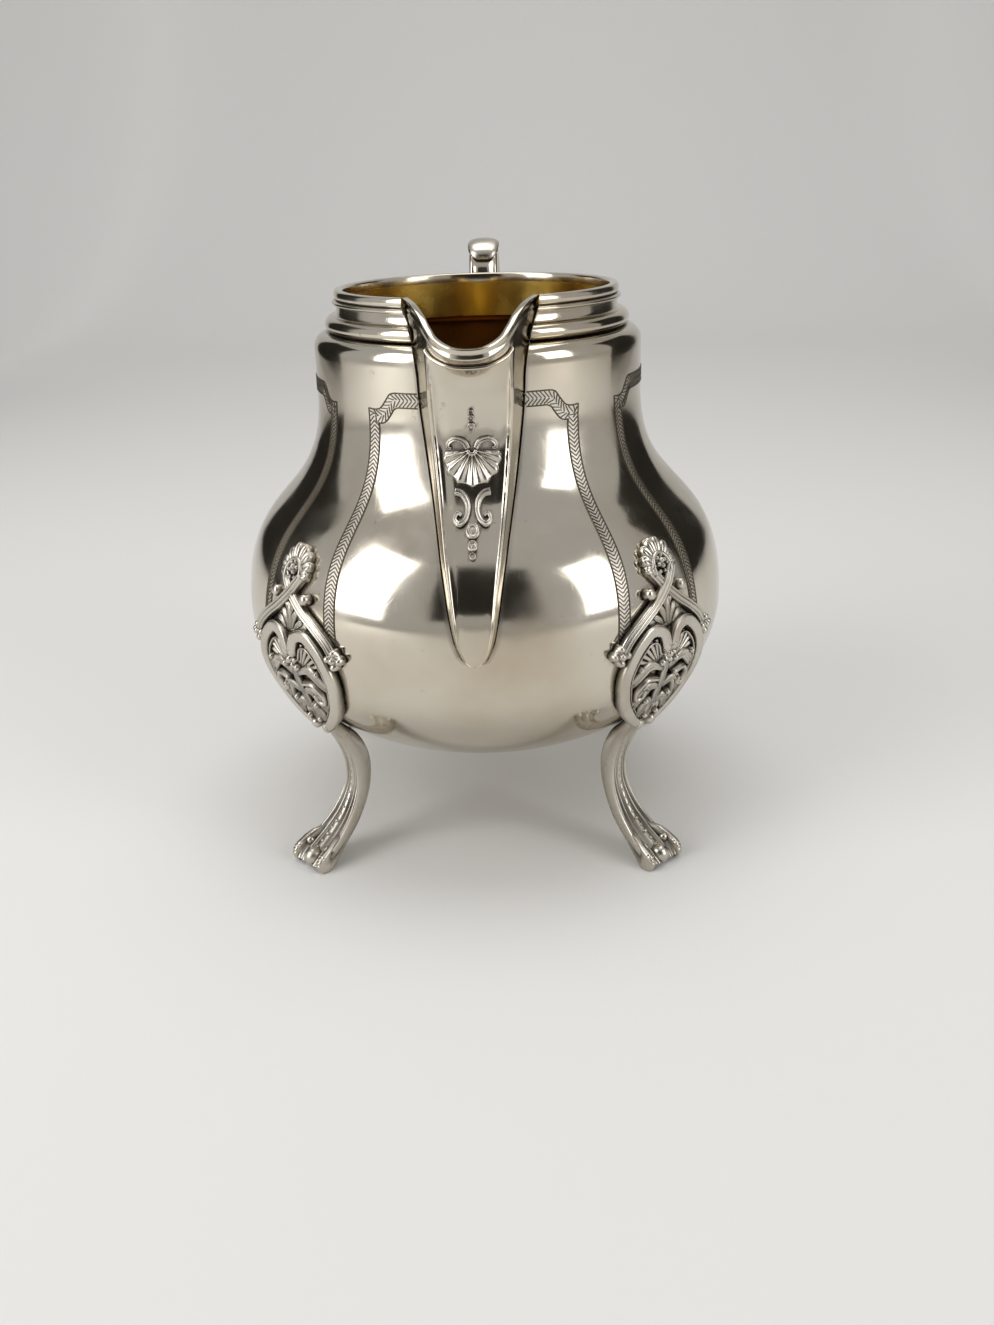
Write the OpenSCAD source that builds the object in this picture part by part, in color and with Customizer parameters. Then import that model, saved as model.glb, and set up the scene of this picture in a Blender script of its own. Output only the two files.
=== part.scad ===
// Silver-plated milk jug: a pear-shaped body on four cast feet, with a moulded collar, a V-shaped
// spout at the front (-Y) and a scroll handle at the back (+Y). Sizes are in millimetres and the
// jug stands on z = 0. The origin is the middle of the jug's outline on the table.

/* [Body] */
// Height of the rim above the table
rim_h = 114; // [110:0.5:118]
// Outer diameter of the belly
belly_d = 102.6; // [98:0.2:106]
// Height of the widest part of the belly above the table
belly_h = 49.5; // [47:0.5:52]
// Outer diameter of the neck
neck_d = 67.2; // [65:0.2:70]
// Length of the upright neck, from the shoulder down to where it begins to swell
neck_l = 11.8; // [10:0.2:14]
// Height of the collar and rim over the shoulder
collar_h = 8.2; // [7.6:0.1:8.8]
// Radius of the rolled shoulder under the collar
shoulder_round = 2.8; // [2:0.1:3.2]
// Height of the underside above the table
base_h = 17; // [15:0.5:20]
// Thickness of the body wall
wall = 1; // [0.8:0.05:1.1]

/* [Collar and rim] */
// Width of the shoulder outside the collar's roll
shoulder_w = 2.5; // [2.2:0.1:2.8]
// How far the collar's roll stands outside the rim wire
collar_w = 2.1; // [1.8:0.1:2.4]
// Width of the wire that ends the rim
rim_wire_w = 1.9; // [1.7:0.1:2.1]
// Height of the rim wire
rim_wire_h = 1.9; // [1.6:0.1:2.2]
// Height of the roll at the foot of the collar
collar_roll_h = 3.1; // [2.8:0.1:3.4]
// Height of the thin fillet at the top of the collar
collar_fillet_h = 1; // [0.8:0.1:1.2]

/* [Spout] */
// Width of the spout's face at the lip
spout_w = 17.4; // [16:0.2:19]
// Width of the mouth between the two ends of the collar
notch_w = 25.6; // [25:0.2:27]
// How far the front of the lip stands out from the neck
lip_out = 7.4; // [6.5:0.1:8.5]
// Depth of the lip below the rim
lip_drop = 8.4; // [7.6:0.2:9]
// Height of the spout's lower tip over the widest part of the belly
spout_tip_rise = 1; // [0.5:0.25:3]
// Depth below the rim at which the spout begins to flare to its lip
spout_flare_drop = 16; // [15:0.25:17]
// How far the spout's face stands in front of the neck where it begins to flare
spout_stand = 3.4; // [3:0.1:3.8]
// How far the spout's rounded edges stand in front of its face
spout_edge_t = 0.7; // [0.5:0.05:0.9]
// Thickness of the spout's sheet
spout_wall = 1; // [0.8:0.05:1.1]
// Height of the strip round the lip
lip_strip_h = 2; // [1.8:0.1:2.2]
// Thickness of the strip round the lip
lip_strip_t = 1.3; // [1.2:0.05:1.5]
// Diameter of the thin wire under the lip
lip_fillet_d = 0.7; // [0.6:0.05:0.9]

/* [Spout ornament] */
// Width of the shell on the spout
shell_w = 10.6; // [10:0.2:11]
// Height of the shell on the spout
shell_h = 8.6; // [8:0.2:9]
// Relief of the spout ornament
relief_t = 0.8; // [0.6:0.05:1]
// Diameter of the largest pellet under the scrolls
pellet_d = 2.6; // [2.4:0.1:2.8]

/* [Feet] */
// Angle between the spout and the front feet
foot_turn = 45; // [43:0.5:47]
// Width of a foot's crest
crest_w = 8.2; // [7.8:0.1:8.6]
// Length of the cartouche
cartouche_l = 22.4; // [21.8:0.2:23]
// Width of the cartouche over its two scroll bands
cartouche_w = 24; // [23:0.25:25]
// Depth of the cartouche's lower tip below the widest part of the belly
cartouche_drop = 18.5; // [17.5:0.25:19.5]
// Depth below the widest part of the belly at which a foot leaves the body
foot_leave_drop = 9.5; // [8.5:0.25:10.5]
// Width of a scroll band
band_w = 2.4; // [2.2:0.1:2.6]
// Thickness of a scroll band
band_t = 1.9; // [1.7:0.1:2.1]
// Width of the crossing straps
strap_w = 1.8; // [1.6:0.1:2]
// Diameter of the rosettes at the sides of the cartouche
rosette_d = 4.4; // [4:0.2:4.8]
// Diameter of the ball in the toe
toe_ball_d = 4.4; // [4.2:0.1:4.8]
// Depth of the flat filed under a toe
toe_filed = 0.3; // [0.2:0.05:0.4]
// How far the tip of a toe stands out beyond the belly
toe_out = 2.2; // [1:0.1:3.5]
// How far the front of the knee lies inside the body's line over it
knee_inset = 2.7; // [2:0.1:3.5]
// Depth of the knee, the narrowest part of the leg, below the cartouche
knee_drop = 13; // [12:0.25:14]
// Width of the leg at the knee
knee_w = 3.9; // [3.5:0.1:4.3]
// Width of the toe
toe_w = 10; // [9.4:0.2:10.6]
// Depth of the leg from its fluted front to its back
leg_t = 4.2; // [3.8:0.1:4.6]

/* [Handle] */
// How far the back of the handle stands out beyond the belly
handle_out = 14.7; // [12:0.25:17]
// Height of the top of the handle over the rim
handle_rise = 6.5; // [5:0.25:8]
// Height of the handle's lower joint over the widest part of the belly
handle_foot_rise = 12.5; // [11:0.25:14]
// Depth of the handle's upper joint below the shoulder
handle_root_drop = 6.8; // [6:0.1:7.6]
// Width of the handle
handle_w = 6.6; // [6:0.1:7.2]
// Thickness of the handle
handle_t = 3.2; // [2.8:0.1:3.6]
// Width of the thumb leaf on the handle
leaf_w = 9; // [8:0.2:10]
// Thickness of the thumb leaf
leaf_t = 1.3; // [1:0.1:1.6]
// Width of the plates that join the handle to the body
joint_w = 10; // [9:0.25:11]
// Thickness of those plates
joint_t = 1; // [0.8:0.1:1.2]

/* [Hidden] */

// Fineness of the curves
curve_steps = 14;
round_steps = 96;
wire_steps = 8;
line_steps = 2;
// Clearance of a soldered joint, and of a piece that is seated on a curved face
solder_gap = 0.05;
seat_gap = 0.12;
foot_gap = 0.23;
// Overrun of the cutting shapes
overrun = 1;
full_turn = 360;
half_turn = 180;
right_angle = 90;

neck_r = neck_d / 2;
belly_r = belly_d / 2;
collar_r = neck_r - shoulder_w;
rim_r = collar_r - collar_w;
mouth_r = rim_r - rim_wire_w;
seat_r = mouth_r + wall;
rim_wire_foot_h = rim_h - rim_wire_h;
shoulder_h = rim_h - collar_h;
neck_h = shoulder_h - neck_l;
belly_rise = belly_h - base_h;
neck_rise = neck_h - belly_h;

// The fullness of the body's two long curves, as shares of the span that each one bends over
base_flat_share = 0.625;
belly_under_share = 0.53;
belly_over_share = 0.61;
neck_under_share = 0.545;

function bezier(a, b, c, d, n = curve_steps) =
    [for (i = [0:n]) let (t = i / n, u = 1 - t)
        u * u * u * a + 3 * u * u * t * b + 3 * u * t * t * c + t * t * t * d];

// A smooth curve through every point of a list, with n steps between neighbours
function smooth(p, n) =
    let (last = len(p) - 1)
    concat(
        [for (k = [0:last - 1], i = [0:n - 1])
            let (t = i / n,
                 a = p[max(k - 1, 0)], b = p[k], c = p[k + 1], d = p[min(k + 2, last)])
            (2 * b + (c - a) * t + (2 * a - 5 * b + 4 * c - d) * t * t
                + (3 * b - a - 3 * c + d) * t * t * t) / 2],
        [p[last]]);

function unit(v) = v / norm(v);
function reversed(v) = [for (i = [len(v) - 1:-1:0]) v[i]];
function mirrored(path) = [for (p = path) [-p[0], p[1]]];
function total(v) = [for (i = v) 1] * v;

// The outside of the body from the middle of its underside up to the neck, as [radius, height]
body_curve = concat(
    bezier([0, base_h], [base_flat_share * belly_r, base_h],
           [belly_r, belly_h - belly_under_share * belly_rise], [belly_r, belly_h]),
    [for (i = [1:curve_steps])
        bezier([belly_r, belly_h], [belly_r, belly_h + belly_over_share * neck_rise],
               [neck_r, neck_h - neck_under_share * neck_rise], [neck_r, neck_h])[i]]);

body_heights = concat([for (i = [1:len(body_curve) - 1]) [body_curve[i][1], body_curve[i][0]]],
                      [[shoulder_h, neck_r]]);

// Radius of the body at height z, and how fast it grows with height
function body_r(z) = lookup(z, body_heights);
function body_slope(z) = (body_r(z + wall) - body_r(z - wall)) / (2 * wall);

// The inside of the body: the same curve moved in by the wall
inner_curve = [for (i = [0:len(body_curve) - 1])
    let (a = body_curve[max(i - 1, 0)], b = body_curve[min(i + 1, len(body_curve) - 1)],
         along = unit(b - a), p = body_curve[i] + wall * [-along[1], along[0]])
    [max(p[0], 0), p[1]]];

// The rolled shoulder, as an arc from the neck in to the collar's seat
shoulder_arc = [for (i = [0:curve_steps / 2])
    let (turn = right_angle * 2 * i / curve_steps)
    [neck_r - shoulder_round * (1 - cos(turn)), shoulder_h - shoulder_round * (1 - sin(turn))]];
inner_round = shoulder_round - wall / 2;
inner_shoulder_arc = [for (i = [0:curve_steps / 2])
    let (turn = right_angle * 2 * i / curve_steps)
    [neck_r - wall - inner_round * (1 - cos(turn)),
     shoulder_h - wall - inner_round * (1 - sin(turn))]];

module turned(points) {
    rotate_extrude($fn = round_steps) polygon(points);
}

// A closed tube through rings of points, all rings having the same number of points
module tube(rings) {
    n = len(rings[0]);
    last = len(rings) - 1;
    middles = (last + 1) * n;
    points = concat([for (r = rings) each r], [total(rings[0]) / n, total(rings[last]) / n]);
    faces = concat(
        [for (i = [0:last - 1], j = [0:n - 1])
            [i * n + j, (i + 1) * n + j, i * n + (j + 1) % n]],
        [for (i = [0:last - 1], j = [0:n - 1])
            [(i + 1) * n + j, (i + 1) * n + (j + 1) % n, i * n + (j + 1) % n]],
        [for (j = [0:n - 1]) [middles, j, (j + 1) % n]],
        [for (j = [0:n - 1]) [middles + 1, last * n + (j + 1) % n, last * n + j]]);
    polyhedron(points, faces);
}

// Direction of a path at point i
function heading(path, i) = unit(path[min(i + 1, len(path) - 1)] - path[max(i - 1, 0)]);

// Rings of a strip that follows a path [across the surface, height]: the section holds
// [share of the width, share of the thickness], and places maps [across, height, proud] to space
function strip_rings(path, width, thick, section, swell) =
    [for (i = [0:len(path) - 1])
        let (t = heading(path, i), side = [-t[1], t[0]], k = swell[i])
        [for (q = section)
            let (p = path[i] + side * q[0] * k * width / 2) [p[0], p[1], q[1] * thick]]];

// No swelling, and a strip that narrows to its end, both as shares of the full width
function even_shares(path) = [for (p = path) 1];
function fade_shares(path, end_share) =
    [for (i = [0:len(path) - 1]) 1 - (1 - end_share) * i / (len(path) - 1)];

// Sections, as shares of a strip's width and thickness
flat_band_shares = [[-1, 0], [1, 0], [0.95, 1], [-0.95, 1]];
round_band_shares = [[-1, 0], [1, 0], [0.6, 1], [-0.6, 1]];
ridge_shares = [[-1, 0], [1, 0], [0.55, 0.5], [0, 1], [-0.55, 0.5]];
leaf_ridge_shares = [[-1, 0], [1, 0], [0, 1]];

/* Spout: the grid of points that its sheet, the cuts behind it and all its ornament share */

// Rows from the tip to the flare: height, half width of the face, stand of the face and opening of
// the flanks, as shares of the flare's height over the tip, of half of spout_w and of spout_stand
row_height_shares = [0, 0.03, 0.095, 0.19, 0.285, 0.38, 0.475, 0.57, 0.665, 0.76, 0.845, 0.925, 1];
row_width_shares = [0.1, 0.25, 0.39, 0.48, 0.55, 0.625, 0.7, 0.77, 0.83, 0.88, 0.92, 0.955, 0.97];
row_stand_shares = [0.07, 0.18, 0.28, 0.35, 0.43, 0.51, 0.59, 0.65, 0.72, 0.78, 0.82, 0.88, 1];
row_open_shares = [0.07, 0.1, 0.13, 0.16, 0.18, 0.2, 0.22, 0.26, 0.31, 0.36, 0.4, 0.43, 0.45];
// Rows from the flare to the lip, as shares of the way
flare_shares = [0.2, 0.4, 0.6, 0.8, 1];
// Columns from the middle of the face over its rounded edge and the flank to the seam
column_x_shares = [0, 0.45, 0.78, 0.9, 1];
column_stand_shares = [1, 0.98, 0.93, 1, 0.75];
flank_stand_share = 0.3;
// The lip at each column: across, forward and down, as shares of half of notch_w, of lip_reach and
// of lip_drop
lip_x_shares = [0, 0.27, 0.5, 0.62, 0.71, 0.84, 0.99];
lip_y_shares = [1, 0.985, 0.93, 0.875, 0.82, 0.73, 0.593];
lip_drop_shares = [1, 0.93, 0.72, 0.48, 0.29, 0.14, 0.01];
seam = len(lip_x_shares) - 1;
corner = len(column_x_shares) - 1;
edge = corner - 1;
lip_reach = neck_r + lip_out;
spout_tip_h = belly_h + spout_tip_rise;
spout_flare_h = rim_h - spout_flare_drop;

function other_side(row) = [for (k = [seam:-1:1]) [-row[k][0], row[k][1], row[k][2]]];
lip_half = [for (k = [0:seam])
    [lip_x_shares[k] * notch_w / 2, -lip_y_shares[k] * lip_reach, rim_h - lip_drop_shares[k] * lip_drop]];
lip_line = concat(other_side(lip_half), lip_half);

// A point at x and height z, standing proud of the body's own surface
function on_body(x, z, proud) = [x, -sqrt(pow(body_r(z) + proud, 2) - x * x), z];

// How far from the axis the flank's back edge runs: within the wall, the roll and the collar's seat
seam_table = [
    [spout_tip_h, 0], [shoulder_h - shoulder_round, 0],
    [shoulder_h - shoulder_round / 2, shoulder_round / 6], [shoulder_h, shoulder_round / 2],
    [shoulder_h + collar_roll_h / 2, neck_r - seat_r - wall], [rim_wire_foot_h, neck_r - seat_r]];
function seam_r(z) = body_r(min(z, shoulder_h)) - wall / 2 - lookup(z, seam_table);
function on_seam(x, z) = [x, -sqrt(pow(seam_r(z), 2) - x * x), z];

last_row = len(row_height_shares) - 1;
function row_h(i) = spout_tip_h + row_height_shares[i] * (spout_flare_h - spout_tip_h);

// Outer and inner points of row i up to the flare, from the middle to the seam
function low_row(i) =
    let (z = row_h(i), half = row_width_shares[i] * spout_w / 2,
         stand = row_stand_shares[i] * spout_stand, side = half + row_open_shares[i] * spout_stand,
         rib = row_width_shares[i] * spout_edge_t)
    concat(
        [for (k = [0:corner])
            on_body(column_x_shares[k] * half, z,
                    column_stand_shares[k] * stand + (k == edge ? rib : 0))],
        [on_body((half + side) / 2, z, flank_stand_share * stand), on_seam(side, z)]);
inner_stand_shares = [1, 1, 1, 1, 0.5];
function low_inner_row(i) =
    let (z = row_h(i), half = row_width_shares[i] * spout_w / 2,
         stand = row_stand_shares[i] * spout_stand, side = half + row_open_shares[i] * spout_stand,
         t = min(spout_wall, side / 2), draw = (side - t) / side)
    concat(
        [for (k = [0:corner])
            on_body(column_x_shares[k] * half * draw, z,
                    min(1, column_stand_shares[k]) * stand - t * inner_stand_shares[k])],
        [on_body((half + side) / 2 * draw, z, flank_stand_share * stand), on_seam(side * draw, z)]);

// Points of the rows from the flare to the lip: they leave the flare upright and end on the lip
function flared(b, t, w) =
    let (u = 1 - w, c = [b[0], b[1], (b[2] + t[2]) / 2]) u * u * b + 2 * u * w * c + w * w * t;
strip_foot = [0, 0, -lip_strip_h - 2 * seat_gap];
function inward(k) =
    let (d = lip_half[min(k + 1, seam)] - lip_half[max(k - 1, 0)],
         flat = k == 0 ? [1, 0] : unit([d[0], d[1]]))
    [-flat[1], flat[0], 0];
function high_row(w) =
    let (low = low_row(last_row))
    [for (k = [0:seam])
        let (p = flared(low[k], lip_half[k] + strip_foot, w)) k == seam ? on_seam(p[0], p[2]) : p];
function high_inner_row(w) =
    let (low = low_inner_row(last_row))
    [for (k = [0:seam])
        let (p = flared(low[k], lip_half[k] + strip_foot + spout_wall * inward(k), w),
             rear = flared(low[k], lip_half[k] + strip_foot - [spout_wall, 0, 0], w))
        k == seam ? on_seam(rear[0], rear[2]) : p];

outer_rows = concat([for (i = [0:last_row]) low_row(i)], [for (w = flare_shares) high_row(w)]);
inner_rows = concat([for (i = [0:last_row]) low_inner_row(i)],
                    [for (w = flare_shares) high_inner_row(w)]);
front_reach = max([for (row = outer_rows) max([for (p = row) -p[1]])]);

// The outline from the spout to the back of the handle is centred on the origin
handle_reach = belly_r + handle_out;
axis_y = (front_reach - handle_reach) / 2;
module placed() {
    translate([0, axis_y, 0]) children();
}

// The V that the spout stands in, cut through the wall, the collar and the rim wire
module spout_cut() {
    side = concat(
        [for (row = outer_rows) [row[seam][0] + solder_gap, row[seam][2] - solder_gap]],
        [[notch_w / 2 + solder_gap, rim_wire_foot_h], [notch_w / 2 + solder_gap, rim_h + overrun]]);
    rotate([right_angle, 0, 0])
        linear_extrude(height = belly_r + overrun)
            polygon(concat(side, mirrored(reversed(side))));
}

/* Body, collar and rim */

module body() {
    color("silver") placed()
        difference() {
            turned(concat(
                body_curve, shoulder_arc, [[seat_r, shoulder_h], [seat_r, rim_wire_foot_h],
                [mouth_r, rim_wire_foot_h], [mouth_r, shoulder_h - wall]],
                reversed(inner_shoulder_arc), reversed(inner_curve)));
            spout_cut();
        }
}

collar_low_h = shoulder_h + solder_gap;
collar_top_h = rim_wire_foot_h - solder_gap;
roll_r = collar_roll_h / 2;
roll_middle_r = collar_r - roll_r;
fillet_r = rim_r + wall / 2;
cove_r = rim_r - wall / 3;
roll_top_h = collar_low_h + collar_roll_h;
arc_steps = 6;
module collar() {
    fillet_low_h = collar_top_h - collar_fillet_h;
    roll = [for (i = [0:arc_steps])
        let (turn = half_turn * i / arc_steps - right_angle)
        [roll_middle_r + roll_r * cos(turn), collar_low_h + roll_r + roll_r * sin(turn)]];
    cove = bezier([roll_middle_r, roll_top_h], [cove_r, roll_top_h],
                  [cove_r, (roll_top_h + fillet_low_h) / 2], [cove_r, fillet_low_h], arc_steps);
    fillet = [for (i = [0:arc_steps])
        let (turn = half_turn * i / arc_steps - right_angle)
        [cove_r + (fillet_r - cove_r) * cos(turn),
         fillet_low_h + collar_fillet_h / 2 * (1 + sin(turn))]];
    color("silver") placed()
        difference() {
            turned(concat([[seat_r + solder_gap, collar_low_h]], roll,
                          [for (i = [1:len(cove) - 2]) cove[i]], fillet,
                          [[seat_r + solder_gap, collar_top_h]]));
            spout_cut();
        }
}

module rim_wire() {
    soft = rim_wire_h / 4;
    low_h = rim_wire_foot_h + solder_gap;
    middle_h = (low_h + rim_h) / 2;
    color("silver") placed()
        difference() {
            turned(concat(
                [[mouth_r, low_h]],
                [for (i = [0:arc_steps])
                    let (turn = half_turn * i / arc_steps - right_angle)
                    [rim_r - soft + soft * cos(turn), middle_h + (rim_h - middle_h) * sin(turn)]],
                [[mouth_r + soft, rim_h], [mouth_r, rim_h - soft]]));
            spout_cut();
        }
}

/* Spout and its ornament */

// A sheet between an outer and an inner grid of points, closed along its four edges
module sheet(outer, inner) {
    last = len(outer) - 1;
    m = len(outer[0]);
    n = m * len(outer);
    points = concat([for (row = outer) each row], [for (row = inner) each row]);
    faces = [for (i = [0:last], j = [0:m - 1])
        let (a = i * m + j, b = a + 1, c = a + m, d = c + 1, up = i < last, across = j < m - 1)
        each concat(
            up && across ? [[a, c, b], [c, d, b], [n + b, n + c, n + a], [n + b, n + d, n + c]] : [],
            i == 0 && across ? [[a, b, n + b], [a, n + b, n + a]] : [],
            i == last && across ? [[b, a, n + a], [b, n + a, n + b]] : [],
            up && j == 0 ? [[n + a, n + c, a], [n + c, c, a]] : [],
            up && j == m - 1 ? [[a, c, n + a], [c, n + c, n + a]] : [])];
    polyhedron(points, faces);
}

module spout() {
    color("silver") placed()
        sheet([for (row = outer_rows) concat(other_side(row), row)],
              [for (row = inner_rows) concat(other_side(row), row)]);
}

// The strip round the lip: [up, out] as shares of its height and thickness
strip_shares = [[0, -0.88], [1, -0.88], [1, 0.05], [0.88, 0.12], [0.75, 0], [0.25, 0], [0.12, 0.12],
                [0, 0.05]];
module spout_lip() {
    path = smooth(lip_line, line_steps);
    color("silver") placed()
        tube([for (i = [0:len(path) - 1])
            let (t = heading(path, i), flat = unit([t[0], t[1]]), out = [flat[1], -flat[0], 0])
            [for (q = strip_shares)
                path[i] + [0, 0, (q[0] - 1) * lip_strip_h] + q[1] * lip_strip_t * out]]);
}

module lip_fillet() {
    wire = lip_fillet_d / 2;
    above = outer_rows[len(outer_rows) - 1];
    below = outer_rows[len(outer_rows) - 3];
    row = outer_rows[len(outer_rows) - 2];
    path = concat(other_side(row), row);
    rise = concat(other_side(above), above) - concat(other_side(below), below);
    first = seam - edge;
    color("silver") placed()
        tube([for (i = [first:len(path) - 1 - first])
            let (t = unit(path[i + 1] - path[i - 1]), n = unit(cross(t, rise[i])), u = cross(n, t))
            [for (j = [0:wire_steps - 1])
                let (turn = full_turn * j / wire_steps)
                path[i] + (wire + solder_gap) * n + wire * (cos(turn) * u + sin(turn) * n)]]);
}

// Places on the spout's face: across, up and proud of the sheet
function row_table(k, axis) =
    [for (i = [0:last_row]) [row_h(i), axis == 0 ? low_row(i)[k][0] : -low_row(i)[k][1]]];
middle_table = row_table(0, 1);
near_table = row_table(1, 1);
far_table = row_table(2, 1);
near_x_table = row_table(1, 0);
far_x_table = row_table(2, 0);
function face_reach(x, z) =
    let (a = abs(x), x1 = lookup(z, near_x_table), x2 = lookup(z, far_x_table),
         y0 = lookup(z, middle_table), y1 = lookup(z, near_table), y2 = lookup(z, far_table))
    a < x1 ? y0 + (y1 - y0) * a / x1 : y1 + (y2 - y1) * (a - x1) / (x2 - x1);
function face_slope(x, z) = (face_reach(x, z + wall) - face_reach(x, z - wall)) / (2 * wall);
function on_face(q) =
    let (n = unit([0, -1, -face_slope(q[0], q[1])]), p = q[2] + seat_gap)
    [q[0], p * n[1] - face_reach(q[0], q[1]), q[1] + p * n[2]];

// A low round boss as rings of [across, height, proud] round a middle, with an optional petal outline
dome_radius_shares = [1, 0.95, 0.55];
dome_height_shares = [0, 0.5, 1];
function dome_rings(middle, d, h, steps, petal_share) =
    [for (k = [0:len(dome_radius_shares) - 1])
        [for (j = [0:steps - 1])
            let (turn = full_turn * j / steps,
                 r = d / 2 * dome_radius_shares[k] * (1 - (j % 2) * petal_share))
            [middle[0] + r * cos(turn), middle[1] + r * sin(turn), h * dome_height_shares[k]]]];
function faced(rings) = [for (ring = rings) [for (q = ring) on_face(q)]];

// The shell fans out downwards from its root: ridges at every other angle
fan_steps = 14;
fan_half_turn = 84;
fan_r_shares = [0.1, 0.1, 0.35, 0.7, 0.92, 1, 1];
fan_proud_shares = [0, 1, 0.75, 0.9, 0.75, 0.2, 0];
fan_valley_share = 0.55;
fan_scallop_share = 0.08;
shell_drop_share = 0.8;
shell_place_share = 0.79;
shell_root_h = spout_tip_h + shell_place_share * (spout_flare_h - spout_tip_h);
module spout_shell() {
    color("silver") placed()
        tube(faced([for (j = [0:fan_steps])
            let (turn = fan_half_turn * (2 * j / fan_steps - 1), valley = j % 2 == 0,
                 reach = (shell_w / 2 + (shell_drop_share * shell_h - shell_w / 2) * cos(turn))
                     * (valley ? 1 - fan_scallop_share : 1))
            [for (k = [0:len(fan_r_shares) - 1])
                [reach * fan_r_shares[k] * sin(turn), shell_root_h - reach * fan_r_shares[k] * cos(turn),
                 relief_t * fan_proud_shares[k] * (valley && k > 1 ? fan_valley_share : 1)]]]));
}

// C scrolls and horns, right halves: [across, up] from the shell's root as shares of shell_w and shell_h
scroll_shares = [[0.31, -0.88], [0.19, -0.92], [0.1, -1.06], [0.08, -1.23], [0.13, -1.41], [0.23, -1.5],
                 [0.31, -1.41], [0.27, -1.3], [0.2, -1.34]];
horn_shares = [[0.07, 0.02], [0.14, 0.16], [0.28, 0.22], [0.4, 0.14], [0.42, 0.04], [0.36, 0.02]];
scroll_w_share = 0.12;
scroll_end_share = 0.5;
module face_scroll(shares, side) {
    path = smooth([for (q = shares) [side * q[0] * shell_w, shell_root_h + q[1] * shell_h]], line_steps);
    tube(faced(strip_rings(path, scroll_w_share * shell_w, relief_t, ridge_shares,
                           fade_shares(path, scroll_end_share))));
}
module spout_scrolls() {
    color("silver") placed()
        for (side = [-1, 1]) {
            face_scroll(scroll_shares, side);
            face_scroll(horn_shares, side);
        }
}

// Pellets under the scrolls and drops over the shell, each smaller than the one before
pellet_steps = 9;
pellet_step_shares = [0, 0.9, 1.51];
pellet_size_shares = [1, 0.7, 0.46];
drop_step_shares = [0, 0.62, 1.08];
drop_size_shares = [0.6, 0.46, 0.34];
pellet_drop_share = 1.62;
drop_rise_share = 0.48;
module pellet_row(first_h, way, steps, sizes) {
    for (k = [0:len(steps) - 1])
        tube(faced(dome_rings([0, first_h + way * steps[k] * pellet_d], sizes[k] * pellet_d, relief_t,
                              pellet_steps, 0)));
}
module spout_pellets() {
    color("silver") placed()
        pellet_row(shell_root_h - pellet_drop_share * shell_h, -1, pellet_step_shares, pellet_size_shares);
}
module spout_drops() {
    color("silver") placed()
        pellet_row(shell_root_h + drop_rise_share * shell_h, 1, drop_step_shares, drop_size_shares);
}

/* Feet */

cartouche_foot_h = belly_h - cartouche_drop;
foot_leave_h = belly_h - foot_leave_drop;
toe_reach = belly_r + toe_out;
knee_reach = body_r(cartouche_foot_h) - knee_inset;
knee_h = cartouche_foot_h - knee_drop;

// A foot lies on the body down to the height where it leaves it, and then runs straight on
leave_slope = body_slope(foot_leave_h);
function foot_r(z) =
    foot_gap + (z < foot_leave_h ? body_r(foot_leave_h) + leave_slope * (z - foot_leave_h) : body_r(z));
function on_foot(q) =
    let (n = unit([1, q[1] < foot_leave_h ? -leave_slope : -body_slope(q[1])]),
         r = foot_r(q[1]), turn = q[0] / r * half_turn / PI, out = r + q[2] * n[0])
    [out * sin(turn), -out * cos(turn), q[1] + q[2] * n[1]];
function footed(rings) = [for (ring = rings) [for (q = ring) on_foot(q)]];
module foot_strip(path, width, thick, section, swell) {
    tube(footed(strip_rings(path, width, thick, section, swell)));
}
module foot_boss(middle, d, h, steps, petal_share) {
    tube(footed(dome_rings(middle, d, h, steps, petal_share)));
}

// Right halves of the foot's lines: [across, up] as shares of half of cartouche_w and of cartouche_l
scroll_line_shares = [[0.07, 0.8], [0.16, 0.93], [0.36, 0.975], [0.54, 0.935], [0.79, 0.79],
                      [0.905, 0.575], [0.72, 0.31], [0.42, 0.12], [0.13, 0]];
strap_line_shares = [[-0.23, 1.46], [-0.13, 1.395], [0, 1.315], [0.28, 1.19], [0.61, 1.07], [0.87, 0.955],
                     [1.03, 0.835]];
// Leaves inside the cartouche and beside the crossing, from root to tip
leaf_shares = [
    [[0.05, 0.63], [0.28, 0.76], [0.38, 0.92]],
    [[0.06, 0.6], [0.45, 0.67], [0.76, 0.54]],
    [[0.04, 0.42], [0.34, 0.42], [0.55, 0.2]],
    [[0.02, 1.28], [0.24, 1.25], [0.4, 1.28]]];
stem_shares = [[0, 0.7], [0, 0.5], [0, 0.3], [0, 0.04]];
leaf_w_share = 0.16;
leaf_t_share = 0.75;
leaf_swell_shares = [0.5, 1, 0.25];
function foot_place(q) = [q[0] * cartouche_w / 2, cartouche_foot_h + q[1] * cartouche_l];
function foot_line(shares, n) = smooth([for (q = shares) foot_place(q)], n);

module mirror_pair() {
    children();
    mirror([1, 0, 0]) children();
}

// Crest: petals fanning up from a small boss
petal_count = 7;
petal_turn = 24;
petal_w_share = 0.24;
petal_way_shares = [0.15, 0.75, 1];
petal_swell_shares = [0.4, 1, 0.5];
boss_steps = 6;
crest_low_share = 0.35;
crest_root_share = 1.463;
module crest() {
    root = foot_place([0, crest_root_share]);
    for (k = [0:petal_count - 1]) {
        turn = (k - (petal_count - 1) / 2) * petal_turn;
        reach = crest_w * (1 + (1 - 2 * crest_low_share) * cos(turn)) / 2;
        path = [for (w = petal_way_shares) root + w * reach * [sin(turn), cos(turn)]];
        hull()
            foot_strip(path, petal_w_share * crest_w, band_t * leaf_t_share, leaf_ridge_shares,
                       petal_swell_shares);
    }
    foot_boss(root, crest_w * crest_low_share, band_t, boss_steps, 0);
}

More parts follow.
